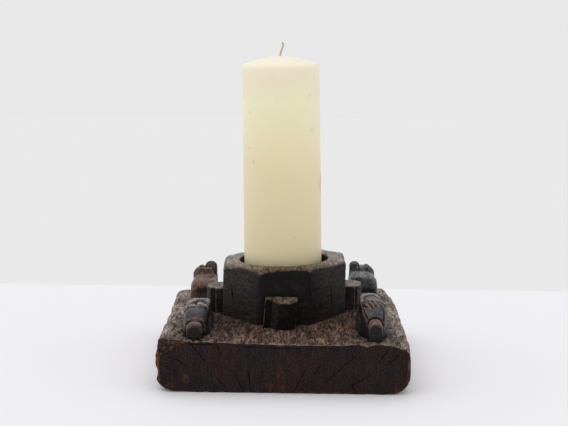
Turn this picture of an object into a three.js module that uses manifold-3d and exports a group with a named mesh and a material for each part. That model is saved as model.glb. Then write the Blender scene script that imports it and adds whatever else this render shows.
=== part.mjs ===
// Candle holder: a thick plank of old hardwood, hewn on top, that carries an eight-sided cup, four
// stepped lugs against the cup's faces and four carved animal heads, with a pillar candle in the cup.
// Millimetres. +X is to the right, +Y goes away from the front, +Z is up.
// The origin is on the table, under the middle of the plank.

import * as THREE from 'three';
import { mergeVertices } from 'three/addons/utils/BufferGeometryUtils.js';
import Module from 'manifold-3d';

const wasm = await Module();
wasm.setup();

// Plank
const plankWidth = 215.5;
const plankDepth = 216;
const plankEdgeHeight = 43.5;
const plankSideBulge = 1.8;
const plankFootRound = 14.5;
const plankShoulderRound = 3;
const plankFrontCorner = 2.5;
const plankRearCorner = 7;
const plankTwist = 2.2;
const groundRise = 5;
const groundSideRise = 3.4;

// Seats that are cut flat in the hewn top, one under each form
const seatDepth = 0.8;
const seatClearance = 0.3;

// Eight-sided cup
const cupAcrossFlats = 110.5;
const cupRimHeight = 95.4;
const cupSetBack = 4;
const cupArrisRound = 3;
const rimEdgeRound = 2.6;
const rimSlopeDegrees = 2.3;

// Round well in the cup
const wellDiameter = 80.5;
const wellDepth = 41;
const wellFloorRound = 3;
const wellMouthRound = 1.6;
const wellOffset = -0.8;
const wellLeanDegrees = 1.5;

// Stepped lugs: a wide wing against the cup and a faceted post in front of it. The rises are heights
// above the plank's edge. postSpan says where across the wing the post begins and ends, in half wings
// from its middle, and a post that ends at 1 is flush with the wing's right side.
const lugWingWidth = 29;
const lugFacetAcross = 6.4;
const lugFacetDeep = 3.6;
const lugEdgeRound = 0.8;
const frontLug = {
  name: 'front_lug', side: 0, offset: -2.7, rise: 27.2,
  wingDepth: 9, postDepth: 5.4, postSpan: [-0.5, 1],
};
const rightLug = {
  name: 'right_lug', side: 1, offset: 0.6, rise: 28.9,
  wingDepth: 9.3, postDepth: 6.3, postSpan: [-0.86, 0.86],
};
const rearLug = {
  name: 'rear_lug', side: 2, offset: 0.8, rise: 27.1,
  wingDepth: 9, postDepth: 5.4, postSpan: [-0.7, 0.7],
};
const leftLug = {
  name: 'left_lug', side: 3, offset: -0.4, rise: 25.4,
  wingDepth: 7.1, postDepth: 8.5, postSpan: [-0.86, 0.86],
};

// Lengths along an animal head, from its flat back end to the tip of its muzzle
const backBevelLength = 6.5;
const neckLength = 12;
const foreheadLength = 15;
const collarStep = 0.8;
const collarLength = 2;
const muzzleLength = 9.5;
const muzzleTipLength = 2;

// Depths and widths that the four heads share
const backCornerInset = 4;
const neckInset = 0.8;
const foreheadBulge = 1.6;
const collarDepth = 1;
const muzzleSlope = 2;
const muzzleTipDrop = 1.4;
const muzzleTipInset = 1.2;
const innerFootSpread = 4.2;
const outerFootSpread = 2.2;
const earSetBack = 0.8;
const earThickness = 8.5;
const earBackRound = 1.4;
const earFrontLength = 3.4;
const earFrontDrop = 4.5;
const earRoot = 4;

// How square the sections are (2 is round) and how much of their height stands upright
const bodySquareness = 6;
const bodyOuterSquareness = 2.8;
const headSquareness = 3.4;
const foreheadEndSquareness = 2.4;
const muzzleSquareness = 2.5;
const earSquareness = 2.2;
const outerEarSquareness = 1.4;
const bodyUpright = 0.64;
const headUpright = 0.45;

// The four heads. fromSide and fromEnd place the tip of the muzzle from the plank's side and end, and
// turn swings the tail end away from the cup, in degrees. The rises are heights above the plank's edge,
// backDrop is how far the back is bevelled off at its end, and neckStep how gently the neck steps up.
const frontLeftHead = {
  name: 'front_left_figure', left: true, front: true, fromSide: 32.4, fromEnd: 7.1, turn: 1.2,
  bodyLength: 42, neckStep: 1.2, backDrop: 3.2,
  backWidth: 22, headWidth: 20.4, browWidth: 16.6, muzzleWidth: 13.4, innerEarWidth: 11, outerEarWidth: 9.4,
  bodyRise: 19.1, neckRise: 20.5, innerEarRise: 22.1, outerEarRise: 21.3, browRise: 14.8, muzzleRise: 12.3,
};
const frontRightHead = {
  name: 'front_right_figure', left: false, front: true, fromSide: 30, fromEnd: 7.1, turn: -0.5,
  bodyLength: 38, neckStep: 1.2, backDrop: 3.2,
  backWidth: 18.8, headWidth: 21.4, browWidth: 14.8, muzzleWidth: 12, innerEarWidth: 11, outerEarWidth: 9.4,
  bodyRise: 26.7, neckRise: 27.7, innerEarRise: 28.9, outerEarRise: 27.9, browRise: 18.9, muzzleRise: 16.1,
};
const rearLeftHead = {
  name: 'rear_left_figure', left: true, front: false, fromSide: 31.9, fromEnd: 9.1, turn: 1.2,
  bodyLength: 28, neckStep: 3.6, backDrop: 7.5,
  backWidth: 22.5, headWidth: 22.2, browWidth: 18, muzzleWidth: 14, innerEarWidth: 11, outerEarWidth: 15.6,
  bodyRise: 23.6, neckRise: 30, innerEarRise: 35.8, outerEarRise: 32.1, browRise: 15.6, muzzleRise: 12.6,
};
const rearRightHead = {
  name: 'rear_right_figure', left: false, front: false, fromSide: 33.9, fromEnd: 12.1, turn: 1.6,
  bodyLength: 26, neckStep: 1.2, backDrop: 1.6,
  backWidth: 25.2, headWidth: 23.4, browWidth: 18, muzzleWidth: 14, innerEarWidth: 9.2, outerEarWidth: 15,
  bodyRise: 30, neckRise: 33.4, innerEarRise: 38.2, outerEarRise: 35.6, browRise: 18.6, muzzleRise: 15,
};

// Pillar candle, a little narrower at the top, and its wick
const candleFootDiameter = 71.4;
const candleTopDiameter = 70.2;
const candleHeight = 225;
const candleOffset = -1;
const candleFootGap = 0.3;
const candleFootRound = 1.5;
const candleShoulderRound = 5;
const candleDomeRise = 6.2;
const wickDiameter = 1.8;
const wickClearance = 0.3;
const wickFootGap = 0.6;
const wickStraight = 1.6;
const wickBendOut = 3.2;
const wickBendHeight = 10;
const wickTipOut = 1.9;
const wickTipHeight = 12;

// How finely curves are divided
const arcSteps = 5;
const groundStepsAcross = 14;
const groundStepsAlong = 18;
const sectionSteps = 18;
const roundSegments = 64;
const wickSides = 8;
const wickBendSteps = 10;

// Values that follow from the sizes above
const seatLevel = plankEdgeHeight - seatDepth;
const rimSlope = THREE.MathUtils.degToRad(rimSlopeDegrees);
const wellLean = THREE.MathUtils.degToRad(wellLeanDegrees);
const upright = new THREE.Vector3(0, 0, 1);

// Finishes, one to each kind of surface
const hewnWood = { color: 0x4e413d, roughness: 0.72, metalness: 0 };
const cupWood = { color: 0x2f2927, roughness: 0.62, metalness: 0 };
const lugWood = { color: 0x3a3331, roughness: 0.6, metalness: 0 };
const headWood = { color: 0x574b48, roughness: 0.5, metalness: 0 };
const ivoryWax = { color: 0xdccdad, roughness: 0.45, metalness: 0 };
const cottonWick = { color: 0xcbb493, roughness: 0.95, metalness: 0 };

// A closed body through rings of points that all have the same count
function loft(rings) {
  const count = rings[0].length;
  const points = rings.flat();
  const faces = [];
  for (let ring = 0; ring < rings.length - 1; ring += 1) {
    for (let i = 0; i < count; i += 1) {
      const near = ring * count + i;
      const next = ring * count + ((i + 1) % count);
      faces.push(near, next, next + count);
      faces.push(near, next + count, near + count);
    }
  }
  const last = (rings.length - 1) * count;
  for (const face of capFaces(rings[0])) {
    faces.push(face[2], face[1], face[0]);
  }
  for (const face of capFaces(rings[rings.length - 1])) {
    faces.push(face[0] + last, face[1] + last, face[2] + last);
  }
  const geometry = new THREE.BufferGeometry().setFromPoints(points);
  geometry.setIndex(faces);
  if (signedVolume(geometry) < 0) {
    geometry.setIndex(faces.reverse());
  }
  return geometry;
}

// Triangles over a flat ring, each with its corners in the order of the ring
function capFaces(ring) {
  const normal = new THREE.Vector3();
  ring.forEach((point, i) => {
    normal.add(new THREE.Vector3().crossVectors(point, ring[(i + 1) % ring.length]));
  });
  const turn = new THREE.Quaternion().setFromUnitVectors(normal.normalize(), upright);
  const flat = ring.map((point) => {
    const turned = point.clone().applyQuaternion(turn);
    return new THREE.Vector2(turned.x, turned.y);
  });
  return THREE.ShapeUtils.triangulateShape(flat, []).map((face) => face.sort((a, b) => a - b));
}

function signedVolume(geometry) {
  const position = geometry.attributes.position;
  const index = geometry.index.array;
  const corner = [new THREE.Vector3(), new THREE.Vector3(), new THREE.Vector3()];
  let volume = 0;
  for (let i = 0; i < index.length; i += 3) {
    corner.forEach((point, k) => point.fromBufferAttribute(position, index[i + k]));
    volume += corner[0].dot(corner[1].cross(corner[2]));
  }
  return volume;
}

// A solid for cutting and joining, with shared corners merged and empty triangles dropped
function solid(geometry, placement = new THREE.Matrix4()) {
  const bare = geometry.clone().applyMatrix4(placement);
  bare.deleteAttribute('normal');
  bare.deleteAttribute('uv');
  const merged = mergeVertices(bare);
  const faces = [];
  for (let i = 0; i < merged.index.count; i += 3) {
    const [a, b, c] = merged.index.array.slice(i, i + 3);
    if (a !== b && b !== c && c !== a) {
      faces.push(a, b, c);
    }
  }
  return new wasm.Manifold(new wasm.Mesh({
    numProp: 3,
    vertProperties: merged.attributes.position.array,
    triVerts: Uint32Array.from(faces),
  }));
}

function geometryOf(manifold) {
  const mesh = manifold.getMesh();
  const geometry = new THREE.BufferGeometry();
  geometry.setAttribute('position', new THREE.BufferAttribute(Float32Array.from(mesh.vertProperties), 3));
  geometry.setIndex(Array.from(mesh.triVerts));
  geometry.computeVertexNormals();
  return geometry;
}

function piece(name, geometry, finish) {
  const mesh = new THREE.Mesh(geometry, new THREE.MeshStandardMaterial(finish));
  mesh.name = name;
  return mesh;
}

// An outline with every edge moved outwards by a distance, for outlines that run anticlockwise
function offsetOutline(outline, distance) {
  return outline.map((point, i) => {
    const before = outline[(i + outline.length - 1) % outline.length];
    const after = outline[(i + 1) % outline.length];
    const into = point.clone().sub(before).normalize();
    const out = after.clone().sub(point).normalize();
    const normalIn = new THREE.Vector2(into.y, -into.x);
    const normalOut = new THREE.Vector2(out.y, -out.x);
    const middle = normalIn.clone().add(normalOut);
    return point.clone().addScaledVector(middle, distance / (1 + normalIn.dot(normalOut)));
  });
}

// Points on an arc in the plane, both ends included
function arcPoints(centreX, centreY, radius, from, to, steps = arcSteps) {
  const points = [];
  for (let i = 0; i <= steps; i += 1) {
    const angle = from + ((to - from) * i) / steps;
    points.push(new THREE.Vector2(centreX + radius * Math.cos(angle), centreY + radius * Math.sin(angle)));
  }
  return points;
}

// A form that stands on its seat: one plan outline, upright walls and a worn, rounded top edge.
// heightAt gives the top's height over each point, so that the top can slope.
function standingForm(outline, heightAt, edgeRound) {
  const ringAt = (inset, levelAt) => offsetOutline(outline, -inset)
    .map((point) => new THREE.Vector3(point.x, point.y, levelAt(point)));
  const rings = [ringAt(0, () => seatLevel)];
  for (let i = 0; i <= arcSteps; i += 1) {
    const angle = (Math.PI / 2) * (i / arcSteps);
    const inset = edgeRound * (1 - Math.cos(angle));
    const drop = edgeRound * (1 - Math.sin(angle));
    rings.push(ringAt(inset, (point) => heightAt(point) - drop));
  }
  return loft(rings);
}

// The seat cut for a form: its outline with the clearance round it, from the seat level upwards
function seatCutter(outline) {
  const grown = offsetOutline(outline, seatClearance);
  const wayOut = plankEdgeHeight + groundRise + groundSideRise + plankTwist;
  const ringAt = (level) => grown.map((point) => new THREE.Vector3(point.x, point.y, level));
  return loft([ringAt(seatLevel), ringAt(wayOut)]);
}

// Height of the hewn top: highest in the middle, a little higher on the right, level along the front
// and twisted along the rear
function groundHeight(x, y) {
  const across = x / (plankWidth / 2);
  const along = Math.cos((Math.PI * y) / plankDepth) ** 4;
  const rise = along * (1 - across ** 4) * (groundRise + groundSideRise * across);
  return plankEdgeHeight + rise + plankTwist * across * (y / plankDepth + 0.5);
}

// Half the plank's width at a place along it, with the corners rounded in plan
function plankHalfWidth(y) {
  const corner = y < 0 ? plankFrontCorner : plankRearCorner;
  const intoCorner = Math.max(0, Math.abs(y) - (plankDepth / 2 - corner));
  return plankWidth / 2 - corner + Math.sqrt(corner ** 2 - Math.min(intoCorner, corner) ** 2);
}

// One section across the plank, anticlockwise from the lower left, bulged at the sides
function plankSection(y) {
  const half = plankHalfWidth(y);
  const sideAt = (z) => half - plankSideBulge * ((2 * z) / plankEdgeHeight - 1) ** 2;
  const topAt = (x) => groundHeight(x, y);
  const right = [];
  for (const point of arcPoints(0, plankFootRound, plankFootRound, -Math.PI / 2, 0)) {
    right.push([sideAt(plankFootRound) - plankFootRound + point.x, point.y]);
  }
  const shoulderStart = topAt(half) - plankShoulderRound;
  right.push([sideAt((plankFootRound + shoulderStart) / 2), (plankFootRound + shoulderStart) / 2]);
  for (const point of arcPoints(0, 0, plankShoulderRound, 0, Math.PI / 2)) {
    const x = sideAt(shoulderStart) - plankShoulderRound + point.x;
    right.push([x, topAt(x) - plankShoulderRound + point.y]);
  }
  const flatHalf = sideAt(shoulderStart) - plankShoulderRound;
  const top = [];
  for (let i = 1; i < groundStepsAcross; i += 1) {
    const x = flatHalf * (1 - (2 * i) / groundStepsAcross);
    top.push([x, topAt(x)]);
  }
  const left = right.map(([x, z], i) => {
    const onTop = i > arcSteps + 1;
    return [-x, onTop ? z - topAt(x) + topAt(-x) : z];
  }).reverse();
  return [...right, ...top, ...left].map(([x, z]) => new THREE.Vector3(x, y, z));
}

function plankStations() {
  const half = plankDepth / 2;
  const stations = [];
  for (let i = 0; i <= arcSteps; i += 1) {
    stations.push(-half + plankFrontCorner * (1 - Math.cos((Math.PI / 2) * (i / arcSteps))));
  }
  const run = plankDepth - plankFrontCorner - plankRearCorner;
  for (let i = 1; i < groundStepsAlong; i += 1) {
    stations.push(-half + plankFrontCorner + (run * i) / groundStepsAlong);
  }
  for (let i = 0; i <= arcSteps; i += 1) {
    stations.push(half - plankRearCorner * (1 - Math.sin((Math.PI / 2) * (i / arcSteps))));
  }
  return stations;
}

// The cup's plan: a regular octagon with a flat to the front and its arrises rounded
function cupOutline() {
  const flatToCentre = cupAcrossFlats / 2;
  const arcCentre = (flatToCentre - cupArrisRound) / Math.cos(Math.PI / 8);
  const points = [];
  for (let corner = 0; corner < 8; corner += 1) {
    const direction = (Math.PI / 8) * (2 * corner + 1);
    const centreX = arcCentre * Math.cos(direction);
    const centreY = cupSetBack + arcCentre * Math.sin(direction);
    const spread = Math.PI / 8;
    points.push(...arcPoints(centreX, centreY, cupArrisRound, direction - spread, direction + spread, 2));
  }
  return points;
}

// Height of the sloping rim over the cup
function rimHeight(x) {
  return cupRimHeight + x * Math.tan(rimSlope);
}

// The well's frame: on its floor, in the middle, with +Z along its leaning axis
function wellFrame() {
  const mouth = new THREE.Vector3(wellOffset, cupSetBack, rimHeight(wellOffset));
  const frame = new THREE.Matrix4().makeRotationY(-wellLean).setPosition(mouth);
  return frame.multiply(new THREE.Matrix4().makeTranslation(0, 0, -wellDepth));
}

// A revolved body about +Z, from a profile of radius and height
function revolve(profile) {
  return new THREE.LatheGeometry(profile, roundSegments).rotateX(Math.PI / 2);
}

function wellCutter() {
  const radius = wellDiameter / 2;
  const above = cupAcrossFlats;
  const mouthHeight = wellDepth - wellMouthRound;
  const mouth = arcPoints(radius + wellMouthRound, mouthHeight, wellMouthRound, Math.PI, Math.PI / 2);
  return revolve([
    new THREE.Vector2(0, 0),
    ...arcPoints(radius - wellFloorRound, wellFloorRound, wellFloorRound, -Math.PI / 2, 0),
    ...mouth,
    new THREE.Vector2(radius + wellMouthRound, above),
    new THREE.Vector2(0, above),
  ]);
}

function octagonalCup() {
  const body = standingForm(cupOutline(), (point) => rimHeight(point.x), rimEdgeRound);
  const hollow = solid(body).subtract(solid(wellCutter(), wellFrame()));
  return piece('octagonal_cup', geometryOf(hollow), cupWood);
}

// Plan of a lug against the cup's front face, turned to the face it stands on
function lugOutline({ side, offset, wingDepth, postDepth, postSpan }) {
  const wing = lugWingWidth / 2;
  const [left, right] = postSpan.map((share) => wing * share);
  const faceY = -cupAcrossFlats / 2;
  const wingY = faceY - wingDepth;
  const postY = wingY - postDepth;
  const facetY = postY + lugFacetDeep;
  const corners = [
    [-wing, faceY], [-wing, wingY], [left, wingY], [left, facetY],
    [left + lugFacetAcross, postY], [right - lugFacetAcross, postY], [right, facetY],
  ];
  if (right < wing) {
    corners.push([right, wingY], [wing, wingY]);
  }
  corners.push([wing, faceY]);
  const centre = new THREE.Vector2(0, 0);
  const shift = new THREE.Vector2(0, cupSetBack);
  return corners.map(([x, y]) => new THREE.Vector2(x + offset, y)
    .rotateAround(centre, (side * Math.PI) / 2).add(shift));
}

function steppedLug(lug) {
  const top = plankEdgeHeight + lug.rise;
  const form = standingForm(lugOutline(lug), () => top, lugEdgeRound);
  return piece(lug.name, form, lugWood);
}

// A quarter of an ellipse, as how far it has run and how much it still has to rise
function quarterRound(length, drop) {
  return arcPoints(0, 0, 1, 0, Math.PI / 2)
    .map((point) => ({ run: length * (1 - point.x), fall: drop * (1 - point.y) }));
}

// One section across a head or an ear: sides that lean in from the foot to the shoulder, then an arch.
// right and left say how far the foot spreads beyond the shoulder on either side, and squareness has
// the arch's squareness on the right and on the left.
function archSection({ along, centre = 0, half, right = 0, left = 0, foot, shoulder, crown, squareness }) {
  const points = [new THREE.Vector3(along, centre - half - right, foot)];
  for (let i = 0; i <= sectionSteps; i += 1) {
    const angle = Math.PI * (1 - i / sectionSteps);
    const power = 2 / squareness[Math.cos(angle) < 0 ? 0 : 1];
    const across = Math.sign(Math.cos(angle)) * Math.abs(Math.cos(angle)) ** power;
    const rise = Math.sin(angle) ** power;
    points.push(new THREE.Vector3(along, centre + half * across, shoulder + (crown - shoulder) * rise));
  }
  points.push(new THREE.Vector3(along, centre + half + left, foot));
  return points;
}

function headLength(head) {
  return head.bodyLength + neckLength + foreheadLength + collarLength + muzzleLength;
}

// Stations of a head from its flat back end to its muzzle: place, half width, top and squareness
function headStations(head) {
  const neckStart = head.bodyLength;
  const browStart = neckStart + neckLength;
  const browEnd = browStart + foreheadLength;
  const muzzleStart = browEnd + collarLength;
  const tip = headLength(head);
  const half = head.headWidth / 2;
  const halfMuzzle = head.muzzleWidth / 2;
  const rises = [head.bodyRise, head.neckRise, head.browRise, head.muzzleRise];
  const [bodyTop, neckTop, browTop, muzzleTop] = rises.map((rise) => plankEdgeHeight + rise);
  const body = quarterRound(backBevelLength, 1).map(({ run, fall }) => {
    const halfHere = head.backWidth / 2 - backCornerInset * fall;
    return [run, halfHere, bodyTop - head.backDrop * fall, bodySquareness];
  });
  const neck = [
    [neckStart, half, bodyTop, bodySquareness],
    [neckStart + head.neckStep, half - neckInset, neckTop, headSquareness],
  ];
  const forehead = [];
  for (let i = 0; i <= arcSteps; i += 1) {
    const share = i / arcSteps;
    const top = THREE.MathUtils.lerp(neckTop, browTop, share);
    const bulge = foreheadBulge * Math.sin(Math.PI * share);
    const place = browStart + foreheadLength * share;
    const squareness = THREE.MathUtils.lerp(headSquareness, foreheadEndSquareness, share);
    const halfHere = THREE.MathUtils.lerp(half, head.browWidth / 2, share ** 2);
    forehead.push([place, halfHere, top + bulge, squareness]);
  }
  const muzzleBack = muzzleTop + muzzleSlope;
  const collarTop = muzzleBack - collarDepth;
  const muzzle = [
    [browEnd + collarStep, halfMuzzle, collarTop, muzzleSquareness],
    [muzzleStart, halfMuzzle, collarTop, muzzleSquareness],
    [muzzleStart + collarStep, halfMuzzle, muzzleBack, muzzleSquareness],
  ];
  const end = quarterRound(muzzleTipLength, muzzleTipDrop).reverse().map(({ run, fall }) => {
    const inset = (muzzleTipInset * fall) / muzzleTipDrop;
    return [tip - run, halfMuzzle - inset, muzzleTop - fall, muzzleSquareness];
  });
  return [...body, ...neck, ...forehead, ...muzzle, ...end];
}

// On which side of its heading the cup lies: 1 is left of it, -1 is right of it
function cupSide(head) {
  return head.left === head.front ? 1 : -1;
}

// Sections of a head. The foot spreads under the body and comes in again towards the forehead's end.
function headSections(head) {
  const spreadEnd = head.bodyLength + neckLength + foreheadLength;
  return headStations(head).map(([along, half, crown, innerSquareness]) => {
    const isBody = innerSquareness === bodySquareness;
    const outerSquareness = isBody ? bodyOuterSquareness : innerSquareness;
    const spread = Math.min(1, Math.max(0, (spreadEnd - along) / (spreadEnd - head.bodyLength)));
    const inner = innerFootSpread * spread;
    const outer = outerFootSpread * spread;
    const onLeft = cupSide(head) > 0;
    const [right, left] = onLeft ? [outer, inner] : [inner, outer];
    const squareness = onLeft ? [outerSquareness, innerSquareness] : [innerSquareness, outerSquareness];
    const shoulder = seatLevel + (crown - seatLevel) * (isBody ? bodyUpright : headUpright);
    return archSection({ along, half, right, left, foot: seatLevel, shoulder, crown, squareness });
  });
}

// One upright ear that grows out of the neck and slopes down to the front, rounder on the inner side
function ear(head, side, width, rise) {
  const start = head.bodyLength + earSetBack;
  const end = start + earThickness;
  const half = width / 2;
  const centre = side * (head.headWidth / 2 - half);
  const foot = plankEdgeHeight + head.bodyRise - earRoot;
  const top = plankEdgeHeight + rise;
  const square = side === cupSide(head) ? earSquareness : outerEarSquareness;
  const squareness = [square, square];
  const stations = [
    [start, half - earBackRound, top - earBackRound],
    [start + earBackRound, half, top],
    [end - earFrontLength, half, top],
    [end, half - earBackRound, top - earFrontDrop],
  ];
  return loft(stations.map(([along, halfHere, crown]) => {
    const shoulder = foot + Math.max(0, crown - halfHere - foot);
    return archSection({ along, centre, half: halfHere, foot: foot - earRoot, shoulder, crown, squareness });
  }));
}

// Where a head stands: its own +X runs from the back end to the muzzle
function headFrame(head) {
  const tipX = (head.left ? -1 : 1) * (plankWidth / 2 - head.fromSide);
  const tipY = (head.front ? -1 : 1) * (plankDepth / 2 - head.fromEnd);
  const heading = (head.front ? -90 : 90) + cupSide(head) * head.turn;
  return new THREE.Matrix4().makeTranslation(tipX, tipY, 0)
    .multiply(new THREE.Matrix4().makeRotationZ(THREE.MathUtils.degToRad(heading)))
    .multiply(new THREE.Matrix4().makeTranslation(-headLength(head), 0, 0));
}

function animalHead(head) {
  const inner = cupSide(head);
  const ears = [
    ear(head, inner, head.innerEarWidth, head.innerEarRise),
    ear(head, -inner, head.outerEarWidth, head.outerEarRise),
  ];
  const carved = ears.reduce((whole, lobe) => whole.add(solid(lobe)), solid(loft(headSections(head))));
  const mesh = piece(head.name, geometryOf(carved), headWood);
  mesh.applyMatrix4(headFrame(head));
  return mesh;
}

// Plan of a head's foot on the plank, from the lowest points of its sections
function headFootprint(head) {
  const frame = headFrame(head);
  const sections = headSections(head);
  const right = sections.map((section) => section[0].clone().applyMatrix4(frame));
  const left = sections.map((section) => section[section.length - 1].clone().applyMatrix4(frame));
  return [...right, ...left.reverse()].map((point) => new THREE.Vector2(point.x, point.y));
}

function baseBlock(lugs) {
  const outlines = [cupOutline(), ...lugs.map(lugOutline), ...heads.map(headFootprint)];
  const plank = solid(loft(plankStations().map(plankSection)));
  const cut = outlines.reduce((rest, outline) => rest.subtract(solid(seatCutter(outline))), plank);
  return piece('base_block', geometryOf(cut), hewnWood);
}

// The candle is revolved round the bore that its wick runs in
function pillarCandle() {
  const footRadius = candleFootDiameter / 2;
  const topRadius = candleTopDiameter / 2;
  const bore = wickDiameter / 2 + wickClearance;
  const shoulderHeight = candleHeight - candleDomeRise - candleShoulderRound;
  const shoulder = arcPoints(
    topRadius - candleShoulderRound, shoulderHeight, candleShoulderRound, 0, Math.PI * 0.42,
  );
  const rim = shoulder[shoulder.length - 1];
  const dome = [];
  for (let i = 1; i <= arcSteps * 2; i += 1) {
    const share = i / (arcSteps * 2);
    const x = rim.x + (bore - rim.x) * share;
    dome.push(new THREE.Vector2(x, rim.y + (candleHeight - rim.y) * Math.sin((Math.PI / 2) * share)));
  }
  const foot = arcPoints(footRadius - candleFootRound, candleFootRound, candleFootRound, -Math.PI / 2, 0);
  const start = new THREE.Vector2(bore, 0);
  return piece('candle', revolve([start, ...foot, ...shoulder, ...dome, start.clone()]), ivoryWax);
}

// The wick: straight through the candle, then bent over to the right with its tip hooked back
function cottonWickPiece() {
  const bend = new THREE.CatmullRomCurve3([
    new THREE.Vector3(0, 0, candleHeight + wickStraight),
    new THREE.Vector3(wickBendOut * 0.45, 0, candleHeight + wickBendHeight * 0.55),
    new THREE.Vector3(wickBendOut, 0, candleHeight + wickBendHeight),
    new THREE.Vector3(wickTipOut, 0, candleHeight + wickTipHeight),
  ]);
  const stations = [{ point: new THREE.Vector3(0, 0, wickFootGap), tangent: upright }];
  for (let i = 0; i <= wickBendSteps; i += 1) {
    const share = i / wickBendSteps;
    const tangent = i === 0 ? upright : bend.getTangentAt(share);
    stations.push({ point: bend.getPointAt(share), tangent });
  }
  const side = new THREE.Vector3(0, 1, 0);
  const rings = stations.map(({ point, tangent }) => {
    const across = new THREE.Vector3().crossVectors(side, tangent);
    return arcPoints(0, 0, wickDiameter / 2, 0, 2 * Math.PI, wickSides).slice(1)
      .map(({ x, y }) => point.clone().addScaledVector(across, x).addScaledVector(side, y));
  });
  return piece('wick', loft(rings), cottonWick);
}

// The candle stands in the well with its wick, a little to the left of the well's axis
function candleGroup() {
  const group = new THREE.Group();
  group.applyMatrix4(wellFrame());
  group.translateX(candleOffset);
  group.translateZ(candleFootGap);
  group.add(pillarCandle(), cottonWickPiece());
  return group;
}

const lugs = [frontLug, rearLug, leftLug, rightLug];
const heads = [frontLeftHead, frontRightHead, rearLeftHead, rearRightHead];
const holder = new THREE.Group();
holder.add(baseBlock(lugs), octagonalCup(), ...lugs.map(steppedLug), ...heads.map(animalHead));
holder.add(candleGroup());

export default holder;
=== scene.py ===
"""A pillar candle in a holder carved from one thick plank of old dark hardwood.

Lengths in this script are millimetres until a mesh is made; Blender's own units are metres.
The cup, lugs and heads are copied from the frame and given a fine skin, the plank, candle and wick are drawn
here, and most of them are worn and tooled, and the plank and cup cracked, in mesh code.
In a sum of reliefs, the number before a pattern is its depth, and those inside it are its size and its seed.
"""

import math

import bpy
import numpy as np
from mathutils import Matrix, Vector
from mathutils.bvhtree import BVHTree


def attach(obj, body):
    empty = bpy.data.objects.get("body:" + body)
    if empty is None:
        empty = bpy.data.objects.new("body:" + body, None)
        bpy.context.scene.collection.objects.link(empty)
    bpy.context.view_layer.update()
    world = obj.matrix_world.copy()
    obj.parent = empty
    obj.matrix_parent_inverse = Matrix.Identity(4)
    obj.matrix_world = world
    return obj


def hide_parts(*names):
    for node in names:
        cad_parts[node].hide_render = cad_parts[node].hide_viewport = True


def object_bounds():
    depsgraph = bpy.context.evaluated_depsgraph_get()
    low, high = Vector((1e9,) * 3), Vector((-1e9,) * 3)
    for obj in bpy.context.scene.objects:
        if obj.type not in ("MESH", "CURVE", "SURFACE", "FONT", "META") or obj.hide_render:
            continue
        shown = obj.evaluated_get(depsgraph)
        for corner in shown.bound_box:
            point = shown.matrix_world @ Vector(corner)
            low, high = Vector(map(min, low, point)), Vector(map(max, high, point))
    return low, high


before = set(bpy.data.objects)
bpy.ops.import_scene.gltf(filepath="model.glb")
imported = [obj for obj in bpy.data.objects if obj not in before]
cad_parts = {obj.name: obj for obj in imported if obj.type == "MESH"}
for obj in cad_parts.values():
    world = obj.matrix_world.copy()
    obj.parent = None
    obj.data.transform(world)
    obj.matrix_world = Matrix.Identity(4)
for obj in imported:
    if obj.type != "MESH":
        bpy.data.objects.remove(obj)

CAD_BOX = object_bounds()
MM = 0.001

# Photograph's frame and camera
PHOTO_WIDTH = 568
FOCAL_PIXELS = 1250
SENSOR_MM = 36
CAMERA_PLACE = (-1.15, -1127.2, 309.2)
CAMERA_TILT = 8.66
CAMERA_ROLL = 0.83
CAMERA_NEAR = 0.05
CAMERA_FAR = 20

# Floor, how far back its tone turns to the wall's, and the light
FLOOR_REACH = 3000
FLOOR_FAR_EDGE = 319
SKY_LIGHT = 0.78
SUN_LIGHT = 0.8
SUN_SPREAD = 70
SUN_TURN = (-12, -14, 0)

# Plank, as it is drawn for the solid, and the face size of its skin
PLANK_WIDTH = 215.5
PLANK_DEPTH = 216
PLANK_EDGE_HEIGHT = 43.5
PLANK_BULGE = 1.8
PLANK_FOOT_ROUND = 14.5
PLANK_SHOULDER_ROUND = 3
FRONT_CORNER = 2.5
REAR_CORNER = 7
GROUND_RISE = 5
GROUND_SIDE_RISE = 3.4
GROUND_TWIST = 2.2
PLANK_GRID = 1.22

# A point above this height belongs to the top, and one this far inside the faces is deep in a crack
TOP_FROM = PLANK_EDGE_HEIGHT - 6
DEEP_INSIDE = 4

# Relief of the plank: how far the fibre swirls, and how deep dents, fibre, pits and swells lie on its top
FIBRE_SWIRL = 7
ADZE_DEPTH = 0.6
FIBRE_DEPTH = 0.5
PIT_DEPTH = 1.4
SWELL_DEPTH = 0.5

# Where the top is chewed: middle across, middle along, reach across, reach along, deeper fibre, deeper pits
CHEWED = (-78, -84, 62, 58, 0.5, 3.6)

# Where the plank's top edges are chewed away: side, middle along Y, reach, depth
EDGE_BITES = (
    (-1, -27, 17, 3.4), (-1, -58, 9, 1.2), (-1, 8, 30, 1.9), (-1, 47, 25, 0.9),
    (1, 110, 66, 4.8), (1, 78, 7, 1.5), (1, -22, 8, 1.2), (1, -84, 7, 1.2),
)

# How far down and how far in from a side a bite reaches
BITE_HEIGHT = 16
BITE_REACH = 12

# How far the top falls away at the front edge, at places across
FRONT_LIP = (
    (-108, 0), (-91, -0.4), (-57, 0.2), (-36, 0.8), (-2, 1.5), (45, 1.5), (57, 0.6), (62.5, 0), (70, 1.9),
    (77, 0.3), (81, 0.2), (89, 0.8), (96, 2.2), (102, 4.7), (108, 8),
)

# How far back the fall and the torn fibre of the front edge reach
LIP_REACH = 12
TORN_REACH = 5

# The shadow line torn under the lip: from left to right, how far below it, half its height, its depth
UNDER_LIP = (-80, 46, 1.9, 1.3, 1.1)

# Chips along the front end's foot: how far back they reach, how far they ease out, how far up
FOOT_CHIPS = (8, 3, 6)

# The rotted front left corner: a point on its slanting face and the way that face looks
ROT_POINT = (-86.7, -108, 43)
ROT_FACING = (-0.383, -0.659, 0.647)
ROT_HOLLOW = 3

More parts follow.
